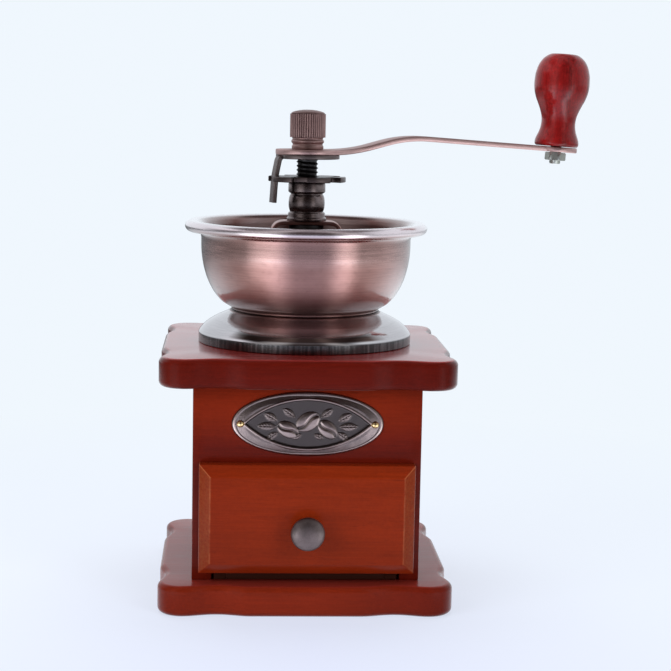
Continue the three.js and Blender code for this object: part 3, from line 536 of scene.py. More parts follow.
class Brushed(Finish):
    """Plated metal with fine brush lines, round Z or along X, that spread a shine across them.
    dark is the share of the colour in its tarnished parts, and tarnish is how far they cover it."""

    def __init__(self, name, colour, roughness=0.3, round_z=True, dark=0.55, anisotropy=0.6, tarnish=0.3):
        super().__init__(name, Metallic=1.0, Anisotropic=anisotropy)
        self.colour = colour
        self.x, self.y, self.z = self.grid.split()
        self.radius = self.vector(self.x, self.y, 0.0).distance()
        self.turn = self.y.math("ARCTAN2", self.x)
        lines = self.stretch(self.grid, (0.12, 7.0, 7.0))
        brush = self.vector(1.0, 0.0, 0.0)
        if round_z:
            lines = self.vector(self.radius * 2.2, self.turn.math("SINE") * 4.0, self.z * 2.6)
            brush = self.vector(self.y * -1.0, self.x, 0.0)
        brush = self.node("ShaderNodeVectorTransform", brush, vector_type="VECTOR", convert_from="OBJECT",
                          convert_to="WORLD")
        normal = self.node("ShaderNodeNewGeometry", out="Normal")
        self.set(Tangent=self.vectors("CROSS_PRODUCT", normal, brush))
        self.line = self.noise(lines, 1.0, 5, 0.75)
        cloud = self.noise(self.grid, (0.06, 0.06, 0.09), 4, 0.6)
        patch = self.noise(self.grid, (0.3, 0.3, 0.5), 5, 0.65)
        self.base = self.mix(self.line.between(0.28, 0.72), rgba(colour, dark + 0.2), rgba(colour, 1.12))
        reddish = (colour[0], colour[1] * 0.9, colour[2] * 0.9)
        self.cover(cloud.between(0.42, 0.75, 0.0, tarnish), rgba(reddish, dark))
        self.cover(patch.between(0.58, 0.8, 0.0, tarnish * 0.8), rgba(colour, dark))
        self.rough = self.line.between(0.25, 0.75, roughness - 0.06, roughness + 0.07)
        self.rough = self.rough + patch.between(0.5, 0.8, 0.0, 0.1)
        self.bump(self.line, 0.18, 0.08 * MM)

    def inside_shade_and_highlights(self, radius, share, highlights_from):
        """Within that radius the plating is duller and painted darker, as shade in the hollow and the crease,
        with two painted highlights of the light boxes above a height.
        """
        inside = self.radius.fading(radius - 0.3, radius + 0.3)
        # painted shade inside the hollow
        self.darken(inside, (share, share * 0.92, share * 0.9, 1))
        self.rough = self.rough + inside * 0.14
        # painted highlights: the light boxes' reflections on the inner back wall
        painted_highlights = abs(self.x).within(6.0, 12.0, 18.0, 30.0) * inside
        self.cover(painted_highlights * self.z.between(highlights_from, highlights_from + 2.0), (1.0, 0.8, 0.78, 1))

    def painted_shade_band(self, start, end, share):
        """From one height to the other the plating is painted darker, to that share: painted shade."""
        brown = (share, share * 0.9, share * 0.88, 1)
        darker = self.mix(self.line.between(0.3, 0.7, 0.6, 1.0), (1, 1, 1, 1), brown)
        self.darken(self.z.between(start, end), darker)

    def lacquer(self):
        """Clear lacquer, seen at a flat angle."""
        self.set(Coat_Roughness=0.12, Coat_IOR=1.9, Coat_Weight=self.facing().between(0.28, 0.55))

    def shade_between_ribs(self, inner, outer, low, high):
        """Between those heights the plating is painted darker from the outer radius inwards: painted shade in
        the grooves between the ribs.
        """
        share = self.radius.fading(inner, outer) * self.z.within(low - 0.1, low, high, high + 0.1)
        self.cover(share, rgba(self.colour, 0.25))

    def rub_edge(self, start, reach, colour, roughness, above):
        """Beyond that radius and above that height the plating is rubbed and polished."""
        share = self.radius.between(start, start + reach) * self.z.between(above, above + 1.0)
        self.cover(share, self.mix(self.line.between(0.3, 0.7), rgba(colour, 0.8), rgba(colour)))
        self.rough = self.rough * (1.0 - share) + share * roughness

    def painted_dark_reflection(self, low, high, front):
        """Between those heights and in front of that place the plating is painted darker: a painted dark
        reflection on the front of the skirt.
        """
        share = self.z.within(low, low + 0.5, high - 1.2, high) * self.y.fading(front - 6.0, front)
        self.darken(share, (0.2, 0.14, 0.12, 1))

    def darken_foot(self, height, share):
        """Under that height the plating is darkened to that share, with fine upright lines."""
        foot = self.z.fading(height - 0.4, height + 0.2)
        ticks = self.noise(self.vector(self.turn * 60.0, self.z * 0.06, 0.0), 1.0, 2)
        ticks = ticks.between(0.45, 0.68, share, share * 2.6)
        self.darken(foot, self.vector(ticks, ticks, ticks))
        self.rough = self.rough + foot * 0.14


def plain_metal(name, colour, roughness=0.4, worn=0.5, grain=1.5):
    """Plated or cast metal without a brushing direction, its plating a little cloudy."""
    metal = Finish(name, Metallic=1.0)
    cloud = metal.noise(metal.grid, 0.22, 5, 0.65)
    speck = metal.noise(metal.grid, grain, 4, 0.6)
    metal.base = metal.mix(cloud.between(0.35, 0.7), rgba(colour, 1.15), rgba(colour, 1 - 0.45 * worn))
    metal.cover(speck.between(0.55, 0.75, 0.0, worn * 0.6), rgba(colour, 0.5))
    metal.rough = speck.between(0.3, 0.7, roughness - 0.07, roughness + 0.1)
    metal.bump(speck, 0.12, 0.15 * MM)
    return metal.done()


def embossed_metal():
    """Dark bronze whose raised parts are worn pale and smooth, by the mesh's own attribute."""
    metal = Finish("oval_plate_bronze", Metallic=1.0)
    raised = metal.node("ShaderNodeAttribute", attribute_name="raised", out=2)
    speck = metal.noise(metal.grid, 2.4, 4, 0.6)
    cloud = metal.noise(metal.grid, 0.25, 4, 0.6)
    worn = raised + (speck - 0.5) * 0.5
    metal.base = metal.mix(worn.between(0.1, 0.8), (0.1, 0.084, 0.082, 1), (0.4, 0.31, 0.285, 1))
    metal.cover(cloud.between(0.45, 0.7, 0.0, 0.35), (0.1, 0.085, 0.085, 1))
    metal.rough = worn.between(0.1, 0.5, 0.45, 0.28)
    metal.bump(speck, 0.3, 0.2 * MM)
    return metal.done()


# Settings

def size(name, description, value, least=0.0):
    return FloatProperty(name=name, description=description, default=value * MM, min=least * MM,
                         unit="LENGTH", subtype="DISTANCE")


def tint(name, description, value):
    return FloatVectorProperty(name=name, description=description, default=value, min=0, max=1,
                               subtype="COLOR")


def angle(name, description, degrees):
    return FloatProperty(name=name, description=description, default=math.radians(degrees),
                         unit="ROTATION", subtype="ANGLE")


class MillSizes(bpy.types.PropertyGroup):
    notch_depth: size("Notch depth", "How deep the shallow notches in the plates' sides are", 2.6)
    plate_rounding: size("Plate rounding", "Radius of the plates' upper and lower edges", 2.4)
    board_rounding: size("Board rounding", "How far the edges of the box's boards are eased", 0.5)
    sheet: size("Sheet", "Wall of the bowl and its skirt", 1.2)
    lip_roll: size("Lip roll", "Radius of the bowl's rolled edge", 2.3)
    thread_pitch: size("Thread pitch", "Rise of the spindle's thread in one turn", 1.75, 0.2)
    ribs: IntProperty(name="Ribs", description="Ribs round the cap nut", default=46, min=6, max=90)


class MillColours(bpy.types.PropertyGroup):
    cherry: tint("Cherry wood", "Stained wood of the box and its plates", (0.19, 0.0165, 0.004))
    drawer: tint("Drawer wood", "Stained wood of the drawer's front", (0.21, 0.0195, 0.003))
    raw: tint("Bare wood", "Wood inside the drawer", (0.5, 0.3, 0.15))
    grip: tint("Grip wood", "Stained wood of the grip", (0.2, 0.006, 0.006))
    copper: tint("Copper", "Antique copper plating", (0.52, 0.315, 0.285))
    bronze: tint("Bronze", "Dark bronze plating", (0.14, 0.108, 0.104))
    zinc: tint("Zinc", "Zinc plating of nuts and screws", (0.34, 0.345, 0.31))
    brass: tint("Brass", "The oval plate's pins", (0.8, 0.58, 0.28))


class MillStage(bpy.types.PropertyGroup):
    floor: tint("Floor", "Colour that the floor shows", (0.77, 0.81, 0.98))
    back: tint("Backdrop", "Colour that the backdrop shows", (0.87, 0.93, 0.99))
    view_place: FloatVectorProperty(
        name="Camera place", description="Where the camera stands",
        default=(-30.789 * MM, -757.82 * MM, 206.73 * MM), unit="LENGTH", subtype="TRANSLATION")
    view_pan: angle("Pan", "Camera's turn to the right", 3.33)
    view_tilt: angle("Tilt", "Camera's turn downwards", 7.49)
    view_roll: angle("Roll", "Camera's turn about its own line", 1.08)


def length(key):
    """A size setting, in millimetres."""
    return getattr(bpy.context.scene.mill_sizes, key) / MM


def colour(key):
    return tuple(getattr(bpy.context.scene.mill_colours, key))


@functools.cache
def zinc():
    return plain_metal("zinc_plate", colour("zinc"), 0.36, 0.4)


@functools.cache
def black_steel():
    return plain_metal("black_steel", (0.055, 0.052, 0.052), 0.45, 0.4)


@functools.cache
def bare_wood(along):
    """Bare wood whose front end is painted nearly black: painted shade in the gap under the drawer front."""
    wood = Wood(f"bare_{along}", colour("raw"), along, deep=0.7, light=1.2, coat=0.0, sheen=0.1, streak=0.8)
    # painted shade on the front ends of the drawer's boards
    return wood.dip(-36.0, (0.03, 0.008, 0.005)).done()


# Repeated shapes

KINDS = ((int, "NodeSocketInt"), (float, "NodeSocketFloat"), (tuple, "NodeSocketVector"),
         (bpy.types.Object, "NodeSocketObject"))


class Shape(Net):
    """A geometry tree that works on an object's mesh, with its own sizes as inputs, in their given order."""

    def __init__(self, name, **sizes):
        super().__init__(bpy.data.node_groups.new(name, "GeometryNodeTree"))
        face = self.tree.interface
        for side in ("OUTPUT", "INPUT"):
            face.new_socket("Geometry", in_out=side, socket_type="NodeSocketGeometry")
        self.values = {}
        for key, value in sizes.items():
            kind = next(kind for sort, kind in KINDS if isinstance(value, sort))
            self.values[face.new_socket(key, in_out="INPUT", socket_type=kind).identifier] = value
        enter = self.tree.nodes.new("NodeGroupInput")
        self.mesh, *self.sizes = [Value(self, socket) for socket in enter.outputs if socket.name]

    def raised(self, geometry, height):
        return self.node("GeometryNodeSetPosition", geometry, None, None, self.vector(0.0, 0.0, height))

    def join(self, *parts):
        join = self.tree.nodes.new("GeometryNodeJoinGeometry")
        for part in parts:
            self.feed(join.inputs[0], part)
        return Value(self, join.outputs[0])

    def work_on(self, made, geometry, finish):
        """Runs the tree on the object, and keeps its result as a plain mesh of one material."""
        whole = self.node("GeometryNodeRealizeInstances", geometry)
        self.end("NodeGroupOutput", self.node("GeometryNodeSetMaterial", whole, None, finish))
        change = made.modifiers.new("shape", "NODES")
        change.node_group = self.tree
        for key, value in self.values.items():
            change[key] = value
        return settled(made)


def spread_on_points(name, points, form, finish, seed=3, tilt=0.0):
    """Copies of a form at points in millimetres, tilted about X and turned at random about their own axis."""
    stencil = loose(name + "_shape", form)
    shape = Shape(name + "_spread", Shape=stencil, Seed=seed, Tilt=(tilt, 0.0, 0.0))
    source, seed, tilt = shape.sizes
    random = shape.node("FunctionNodeRandomValue", None, None, None, math.tau, *[None] * 4, seed, out=1)
    turn = shape.node("FunctionNodeRotateEuler", shape.vector(0.0, 0.0, random), tilt, space="OBJECT")
    cloud = shape.node("GeometryNodeMeshToPoints", shape.mesh)
    source = shape.node("GeometryNodeObjectInfo", source, out="Geometry")
    copies = shape.node("GeometryNodeInstanceOnPoints", cloud, None, source, None, None, turn)
    made = shape.work_on(loose(name, Form(map(Vector, points))), copies, finish)
    bpy.data.objects.remove(stencil)
    return made


def pan_screw(radius, reach, head_radius, head_height, slot_width=0.7, slot_depth=0.8, point=2.2):
    """A slotted screw with a low domed head on +Z, its seat at height 0.
    point is its tapered end's length."""
    brim = 0.35
    profile = [(0, -reach), (radius - point * 0.5, -reach), (radius, point - reach), (radius, 0.0)]
    profile += [(head_radius, 0.0), (head_radius, head_height * brim)]
    profile += [(head_radius * x, head_height * (brim + (1 - brim) * y))
                for x, y in arc(1, [t * math.pi / 16 for t in range(1, 8)])]
    blank = loose("screw_blank", Form().lathe(profile + [(0, head_height)], 32))
    half_x, half_y = head_radius * 1.2, slot_width / 2
    slot = Form().box((-half_x, -half_y, head_height - slot_depth), (half_x, half_y, head_height + 1))
    return form_of(combined(blank, [slot]))


def sunk_screw(reach):
    """A slotted countersunk screw, its head's top at height 0."""
    shank, head = 1.75, 3.6
    profile = [(0, -reach), (0.9, 1.2 - reach), (shank, 3.5 - reach), (shank, -2.6), (head, -0.15),
               (head - 0.1, 0), (0, 0)]
    blank = loose("sunk_screw", Form().lathe(profile, 40))
    return form_of(combined(blank, [Form().box((-5, -0.4, -1.0), (5, 0.4, 1))]))


def hex_nut(flats, bore, low, high, sides=72):
    """A hexagon nut with chamfered corners, about Z."""
    form = Form()
    chamfer, edge = (high - low) * 0.11, 0.4
    rings = []
    for z, cap in ((low, 0.905), (low + chamfer, 1.0), (high - chamfer, 1.0), (high, 0.905)):
        ring = []
        for i in range(sides):
            turn = i * math.tau / sides
            side = flats / 2 / math.cos((turn + math.pi / 6) % (math.pi / 3) - math.pi / 6)
            reach = min(side, flats / math.sqrt(3) * cap)
            ring.append((reach * math.cos(turn), reach * math.sin(turn), z))
        rings.append(form.ring(ring))
    for radius, z in ((bore + edge, high), (bore, high - edge), (bore, low + edge), (bore + edge, low)):
        rings.append(form.ring([(x, y, z) for x, y in circle(radius, sides)]))
    return form.stack(rings, True)


# Wooden pieces

def plate_outline(half, corner=10.0, place=36.0, half_width=14.0):
    """Square plate whose sides each have two shallow notches."""
    depth = length("notch_depth")
    side = []
    for centre in (-place, place):
        for i in range(33):
            across = i / 16 - 1
            dip = depth * math.cos(across * QUARTER) ** 2
            side.append(Vector((half - dip, centre + across * half_width)))
    inner = half - corner
    side += [Vector(point) for point in arc(corner, [i / 12 * QUARTER for i in range(13)], (inner, inner))]
    line = []
    for quarter in range(4):
        spin = Matrix.Rotation(quarter * QUARTER, 2)
        for point in side:
            moved = spin @ point
            if not line or (Vector(line[-1]) - moved).length > 1e-4:
                line.append(tuple(moved))
    return line[:-1]


def board(name, node, easing):
    return softened(loose(name, Form().box(*corners(node))), easing)


class MILL_OT_plates(bpy.types.Operator):
    """Makes the scalloped plates under and over the box"""
    bl_idname = "mill.plates"
    bl_label = "Plates"

    def execute(self, context):
        rounding = length("plate_rounding")
        low, high = corners("base_plate")
        base = loose("scalloped_base", Form().slab(plate_outline(high.x), low.z, high.z, rounding, 8))
        sink = [(0, -1), (3.9, -1), (3.9, 0.3), (2.05, 3.1), (2.05, 20), (0, 20)]
        centres = [centre_of(f"base_screw_{number}") for number in range(1, 5)]
        combined(base, [Form().lathe(sink, 40).moved(centre.x, centre.y, 0) for centre in centres])
        wood = Wood("cherry_base", colour("cherry"), sheen=0.62)
        # Uneven colour with painted shade, and painted light on the top face.
        wood.stain_and_shade((-10, -30, 6), (56, 80, 40), 0.75).painted_top_light(high.z, (0.21, 0.022, 0.014))
        finished(base, "housing", ["base_plate"], wood.done())
        low, high = corners("top_plate")
        mouth = 23.3
        top = loose("scalloped_top", Form().slab(plate_outline(high.x), low.z, high.z, rounding, 8, mouth))
        maroon = tuple(c * share for c, share in zip(colour("cherry"), (0.5, 0.35, 0.6)))
        wood = Wood("cherry_top", maroon, coat=0.07, sheen=1.0, gloss=0.18)
        # Uneven colour with painted shade, and painted light on the top face.
        wood.stain_and_shade((-25, -60, 100), (75, 200, 60), 0.45).painted_top_light(high.z, (0.26, 0.024, 0.02))
        finished(top, "housing", ["top_plate"], wood.done())
        return {"FINISHED"}


class MILL_OT_box(bpy.types.Operator):
    """Makes the four boards of the box"""
    bl_idname = "mill.box"
    bl_label = "Box"

    def execute(self, context):
        easing = length("board_rounding")
        low, high = corners("front_board")
        bay_half, bay_top = high.x - 8.0, low.z + 45.0
        outline = [(low.x, low.z), (-bay_half, low.z), (-bay_half, bay_top), (bay_half, bay_top),
                   (bay_half, low.z), (high.x, low.z), (high.x, high.z), (low.x, high.z)]
        form = Form().slab(outline, -high.y, -low.y).turned(Matrix.Rotation(QUARTER, 4, "X"))
        # Darker towards the sides and the bottom: uneven colour, and painted shade beside the drawer.
        wood = Wood("cherry_front", colour("cherry")).stain_and_shade((0, low.y, 87), (75, 200, 17), 0.9)
        front = softened(loose("box_front", form), easing)
        finished(front, "housing", ["front_board"], wood.done())
        for side, along in (("back", "X"), ("left", "Y"), ("right", "Y")):
            name, node = f"box_{side}", f"{side}_board"
            low, high = corners(node)
            wood = Wood(f"cherry_{name}", colour("cherry"), along)
            wood.stain_and_shade(centre_of(node), [max(s * 0.65, 30) for s in high - low], 0.5)
            finished(board(name, node, easing), "housing", [node], wood.done())
        return {"FINISHED"}


class MILL_OT_drawer(bpy.types.Operator):
    """Makes the drawer's bevelled front and its box"""
    bl_idname = "mill.drawer"
    bl_label = "Drawer"

    def execute(self, context):
        low, high = corners("drawer_front")
        bevel_width, bevel_depth = 4.5, 3.25
        form = Form()
        rows = []
        for inset, y in ((0, high.y), (0, low.y + bevel_depth), (bevel_width, low.y)):
            x0, x1, z0, z1 = low.x + inset, high.x - inset, low.z + inset, high.z - inset
            rows.append(form.ring([(x0, y, z0), (x1, y, z0), (x1, y, z1), (x0, y, z1)]))
        front = softened(loose("drawer_face", form.stack(rows)), 0.35, 3, 12)
        middle = centre_of("drawer_front")
        wood = Wood("cherry_drawer", colour("drawer"))
        # Uneven colour with painted shade, and painted highlights on the bevels.
        wood.stain_and_shade((middle.x + 12, middle.y, middle.z + 8), (62, 200, 36), 0.4).painted_bevel_highlights(low, high, bevel_width)
        finished(front, "drawer", ["drawer_front"], wood.done())
        for name, node, along in (
                ("drawer_side_left", "drawer_left", "Y"), ("drawer_side_right", "drawer_right", "Y"),
                ("drawer_end", "drawer_back", "X"), ("drawer_floor", "drawer_bottom", "X")):
            finished(board(name, node, 0.4), "drawer", [node], bare_wood(along))
        low, high = corners("drawer_knob")
        reach, radius = high.y - low.y, (high.x - low.x) / 2
        shares = [(0.72, 0), (0.72, 0.05), (0.6, 0.09), (0.47, 0.15), (0.44, 0.28), (0.46, 0.42), (0.6, 0.53),
                  (0.9, 0.58), (0.985, 0.63), (1.0, 0.7), (0.965, 0.775), (0.85, 0.86), (0.64, 0.94),
                  (0.34, 0.985)]
        profile = through([(radius * r, reach * h) for r, h in shares] + [(0, reach)], 4)
        forwards = Matrix.Rotation(QUARTER, 4, "X")
        knob = Form().lathe([(0, 0)] + profile, 96).turned(forwards)
        knob.moved((low.x + high.x) / 2, high.y, (low.z + high.z) / 2)
        metal = plain_metal("dark_bronze_knob", (0.17, 0.133, 0.127), 0.46, 0.55, 2.2)
        finished(loose("turned_knob", knob), "drawer", ["drawer_knob"], metal, 50)
        low, high = corners("drawer_knob_screw")
        head = 2.0
        screw = pan_screw(1.9, high.y - low.y - head, 3.4, head).turned(forwards.inverted())
        screw.moved(0, high.y - head, (low.z + high.z) / 2)
        finished(loose("knob_fixing", screw), "drawer", ["drawer_knob_screw"], zinc())
        return {"FINISHED"}


# Oval plate

def turned_place(x, z, origin, turn):
    """A point of the plate, seen from an origin and along a direction."""
    dx, dz = x - origin[0], z - origin[1]
    return dx * math.cos(turn) + dz * math.sin(turn), dz * math.cos(turn) - dx * math.sin(turn)


def bean(x, z, centre, turn, long, wide):
    """Height share of a coffee bean with its curved furrow, at a point of the plate."""
    u, v = turned_place(x, z, centre, turn)
    rest = 1 - (u / long) ** 2 - (v / wide) ** 2
    if rest <= 0:
        return 0.0
    height = rest ** 0.42
    furrow = v - 0.2 * wide * math.sin(math.pi * u / long)
    if abs(u) < long * 0.92:
        height -= 0.62 * math.exp(-(furrow / (0.17 * wide)) ** 2)
    return max(height, 0.0)


def leaf(x, z, foot, turn, long, wide):
    """Height share of a pointed leaf with a middle vein."""
    u, v = turned_place(x, z, foot, turn)
    if not 0 < u < long:
        return 0.0
    rest = 1 - (v / (wide * math.sin(math.pi * u / long) ** 0.8)) ** 2
    if rest <= 0:
        return 0.0
    side = 0.16 * math.sin(u * 5.2 - abs(v) * 4.0)
    return max(rest ** 0.5 * (0.8 + side) - 0.5 * math.exp(-(v / 0.14) ** 2), 0.0)


# Each bean's centre, turn, half length and half width, and the same of each leaf from its foot
BEANS = [((0.0, 0.9), 0.55, 5.3, 3.7), ((-8.0, -2.4), -0.5, 4.7, 3.2), ((8.0, -2.2), 2.4, 4.7, 3.2)]
LEAVES = [((-12.4, 1.2), 2.62, 6.0, 1.7), ((-12.8, -1.2), 3.12, 7.4, 1.8), ((-12.2, -3.6), 3.72, 5.2, 1.4),
          ((12.4, 1.2), 0.52, 6.0, 1.7), ((12.8, -1.2), 0.02, 7.4, 1.8), ((12.2, -3.6), -0.58, 5.2, 1.4),
          ((-5.2, 2.6), 2.5, 6.0, 1.5), ((5.2, 2.6), 0.64, 6.0, 1.5), ((-2.6, -4.2), 3.6, 4.2, 1.2),
          ((2.6, -4.2), -0.46, 4.2, 1.2)]


def oval_relief(x, z, half_x, half_z, full):
    """Height at a point of the oval plate, and how raised and so how worn it is."""
    lens_half, lens_rise = 25.25, 9.8
    arc_radius = (lens_half ** 2 + lens_rise ** 2) / (2 * lens_rise)
    out = math.sqrt((x / half_x) ** 2 + (z / half_z) ** 2)
    edge = (1 - out) * half_z * (0.75 + 0.9 * abs(x) / half_x)
    level = full * (0.3 + 0.58 * min(edge / 3.4, 1.0))
    rim = max(1 - ((edge - 0.7) / 0.55) ** 2, 0)
    level += full * 0.14 * rim ** 0.5
    if edge < 0.35:
        level -= full * 0.25 * (1 - edge / 0.35) ** 2
    reach = arc_radius - math.sqrt(x * x + (abs(z) + arc_radius - lens_rise) ** 2)
    raised = max(1 - ((reach + 0.45) / 0.55) ** 2, 0)
    if raised > 0:
        level = max(level, full * (0.76 + 0.24 * raised ** 0.5))
    if reach > 0:
        raised = max([bean(x, z, *one) * 0.9 for one in BEANS] + [leaf(x, z, *one) * 0.62 for one in LEAVES])
        level = full * 0.72 - 0.72 * min(reach / 0.5, 1) + raised * 0.95
    pin_place, pin_seat = 27.2, 1.7
    near = min(math.hypot(abs(x) - pin_place, z) / pin_seat, 1)
    band = 0.45 if reach < -1.0 else 0.0
    return min(level, full * (0.62 + 0.38 * near ** 4)), max(raised, rim, band)


class MILL_OT_oval_plate(bpy.types.Operator):
    """Makes the embossed oval plate and its pins"""
    bl_idname = "mill.oval_plate"
    bl_label = "Oval plate"

    def execute(self, context):
        low, high = corners("oval_plate")
        centre = (low + high) / 2
        half_x, half_z, full = (high.x - low.x) / 2, (high.z - low.z) / 2, high.y - low.y
        around, inwards = 300, 96
        rim = [(half_x * x, half_z * z) for x, z in circle(1, around)]
        form = Form()
        rows = [form.ring([(centre.x + x, high.y, centre.z + z) for x, z in rim])]
        wear = [0.0] * around
        for i in range(inwards + 1):
            out = 1 - (i / inwards) ** 1.12
            spots = [(x * out, z * out) for x, z in rim] if i < inwards else [(0, 0)]
            found = [oval_relief(x, z, half_x, half_z, full) for x, z in spots]
            rows.append(form.ring([(centre.x + x, high.y - level, centre.z + z)
                                   for (x, z), (level, raised) in zip(spots, found)]))
            wear += [raised for level, raised in found]
        plate = loose("embossed_plate", form.stack(rows))
        plate.data.attributes.new("raised", "FLOAT", "POINT").data.foreach_set("value", wear)
        finished(plate, "housing", ["oval_plate"], embossed_metal(), 60)
        pins = ["oval_plate_pin_left", "oval_plate_pin_right"]
        dome = [(1.5 * x, 1.3 * y) for x, y in arc(1, [t * math.pi / 12 for t in range(6)])]
        head = Form().lathe([(0, -7), (0.7, -6), (0.7, 0)] + dome + [(0, 1.3)], 32)
        brass = plain_metal("polished_brass", colour("brass"), 0.24, 0.25)
        seats = [(centre_of(pin).x, low.y + 0.5, centre_of(pin).z) for pin in pins]
        heads = spread_on_points("oval_plate_pins", seats, head, brass, tilt=QUARTER)
        finished(heads, "housing", pins, brass)
        return {"FINISHED"}


# Hopper

class MILL_OT_hopper(bpy.types.Operator):
    """Makes the spun skirt and bowl"""
    bl_idname = "mill.hopper"
    bl_label = "Hopper"

    def execute(self, context):
        low, high = corners("hopper_flange")
        sheet, roll = length("sheet"), length("lip_roll")
        radius, foot, neck = (high.x - low.x) / 2, low.z, high.z
        rise = neck - foot
        outer = [(radius, foot), (radius, foot + rise * 0.3), (radius - 0.3, foot + rise * 0.335)]
        dome = [(44.45, 0.385), (42.45, 0.54), (39.0, 0.71), (34.85, 0.855), (32.6, 0.93), (31.7, 0.985)]
        outer += through([(r, foot + rise * share) for r, share in dome], 6) + [(31.4, neck)]
        inner = [(r - sheet, z - (0.5 if z > foot + 1 else 0)) for r, z in reversed(outer)]
        skirt = turned_ring("spun_skirt", outer + inner, 0.5, 192, 4)
        highlights_from = 141.0
        metal = Brushed("antique_copper_skirt", colour("copper"), roughness=0.2, dark=0.6)
        metal.inside_shade_and_highlights(32.1, 0.12, highlights_from)
        metal.rub_edge(32.0, 0.4, (0.6, 0.57, 0.58), 0.1, 0.0)
        # painted dark reflection on the skirt's front, under the bowl
        metal.painted_dark_reflection(foot + 4.75, foot + 7.8, -30.0)
        metal.darken_foot(foot + 4.1, 0.14)
        finished(skirt, "housing", ["hopper_flange"], metal.done(), 40)

        low, high = corners("hopper_bowl")
        lip_radius, lip_top, floor = (high.x - low.x) / 2, high.z, low.z
        side, foot_outer = 44.4, 31.2
        curve = (17.1, 28.0)

        def wall(inset, steps=26, end=math.radians(62)):
            """The bowl's curved wall from its foot up, moved inwards."""
            return [(side - curve[0] + (curve[0] - inset) * x, neck + curve[1] - (curve[1] - inset) * y)
                    for x, y in arc(1, [end * i / steps for i in range(steps, -1, -1)])]

        seat = neck + 0.05
        outside = [(foot_outer - 1.2, seat), (foot_outer, seat), (foot_outer + 0.15, neck + 0.9)] + wall(0)
        outside += [(side, lip_top - 7.2), (side + 0.35, lip_top - 5.6), (side + 1.5, lip_top - 4.75)]
        turns = [math.radians(t) for t in range(-90, 91, 12)]
        outside += arc(roll, turns, (lip_radius - roll, lip_top - roll))
        inner_rim = [(46.6, 0.1), (45.0, 0.55), (43.9, 1.6), (side - sheet, 3.4)]
        outside += [(r, lip_top - drop) for r, drop in inner_rim]
        mouth = 20.3
        bottom = [(29.5, neck + 1.0), (28.3, floor + 2.0), (27.4, floor + sheet), (mouth, floor + sheet),
                  (mouth, floor), (29.2, floor), (29.9, neck - 0.5)]
        bowl = turned_ring("spun_bowl", outside + wall(sheet)[::-1] + bottom, 0.6, 224, 4)
        metal = Brushed("antique_copper_bowl", colour("copper"), roughness=0.24, dark=0.5, anisotropy=0.8)
        metal.inside_shade_and_highlights(44.0, 0.85, highlights_from)
        # Painted shade under the rolled lip and towards the foot.
        metal.painted_shade_band(146, 150, 0.4)
        metal.painted_shade_band(131, 120, 0.6)
        metal.lacquer()
        metal.rub_edge(45.4, 1.2, (0.86, 0.75, 0.77), 0.24, lip_top - 3.7)
        finished(bowl, "housing", ["hopper_bowl"], metal.done(), 40)
        return {"FINISHED"}


class MILL_OT_bridge(bpy.types.Operator):
    """Makes the strap bridge with the spindle's sleeve and collar"""
    bl_idname = "mill.bridge"
    bl_label = "Bridge and sleeve"

    def execute(self, context):
        low, high = corners("bridge")
        thick, half = 1.6, (high.y - low.y) / 2
        top, foot, seat = high.z - thick / 2, low.z + thick / 2, high.z
        right = eased([(0, top), (14.0, top), (19.6, foot), (high.x, foot)], 4.6, 8)
        path = upright([(-x, z) for x, z in reversed(right[1:])] + right)
        section = [(-half, -thick / 2), (half, -thick / 2), (half, thick / 2), (-half, thick / 2)]
        strap = loose("strap_bridge", Form().strand(path, eased(section, 0.5, 3, True)))
        holes = [cylinder(1.9, foot - 3, foot + 3, 32).moved(x, 0, 0) for x in (-25.0, 25.0)]
        sleeve_hole = cylinder(6.3, top - 3, top + 3, 64)
        combined(strap, [sleeve_hole] + holes)
        metal = Brushed("antique_copper_strap", colour("copper"), roughness=0.32, round_z=False, dark=0.45,
                        tarnish=0.6)
        finished(strap, "housing", ["bridge"], metal.done())

        low, high = corners("bearing_sleeve")
        steps = [(8.4, 0.0), (8.4, 1.1), (8.1, 1.45), (7.8, 1.6), (7.8, 3.3), (7.45, 3.6), (7.06, 3.75),
                 (7.06, 4.05), (7.3, 4.6), (7.55, 5.6), (7.65, 6.7), (7.64, 8.2), (7.5, 9.6), (7.15, 10.7),
                 (6.8, 11.15), (6.8, 11.55), (7.3, 11.8), (7.81, 12.2), (7.85, 13.0), (7.85, 15.3),
                 (7.6, high.z - seat)]
        bore, shank = 4.9, 6.0
        profile = [(bore, low.z), (shank, low.z), (shank, seat)] + [(r, seat + h) for r, h in steps]
        sleeve = turned_ring("turned_sleeve", profile + [(bore, high.z)], 0.3, 96, 4, 25)
        metal = Brushed("dark_bronze_sleeve", (0.21, 0.165, 0.16), roughness=0.24, dark=0.5, anisotropy=0.3,
                        tarnish=0.4)
        finished(sleeve, "housing", ["bearing_sleeve"], metal.done(), 40)
        low, high = corners("sleeve_collar")
        collar = turned_ring("staked_collar", band(6.3, (high.x - low.x) / 2, low.z, high.z), 0.4, 64)
        finished(collar, "housing", ["sleeve_collar"], black_steel())
        return {"FINISHED"}


class MILL_OT_screws(bpy.types.Operator):
    """Sets the screws that hold the box and the hopper"""
    bl_idname = "mill.screws"
    bl_label = "Screws"

    def execute(self, context):
        low, high = corners("base_screw_1")
        domed, sunk = pan_screw(1.6, 11.5, 3.0, 2.1), sunk_screw(high.z - low.z)
        for name, screw, end, seat, seed, tilt in (("hopper_screw", domed, 1, -2.1, 5, 0.0),
                                                   ("base_screw", sunk, 0, 0.0, 8, math.pi)):
            nodes = [f"{name}_{number}" for number in range(1, 5)]
            points = [(centre_of(node).x, centre_of(node).y, corners(node)[end].z + seat) for node in nodes]
            screws = spread_on_points(name + "s", points, screw, zinc(), seed, tilt)
            finished(screws, "housing", nodes, zinc())
        return {"FINISHED"}


# Mill work

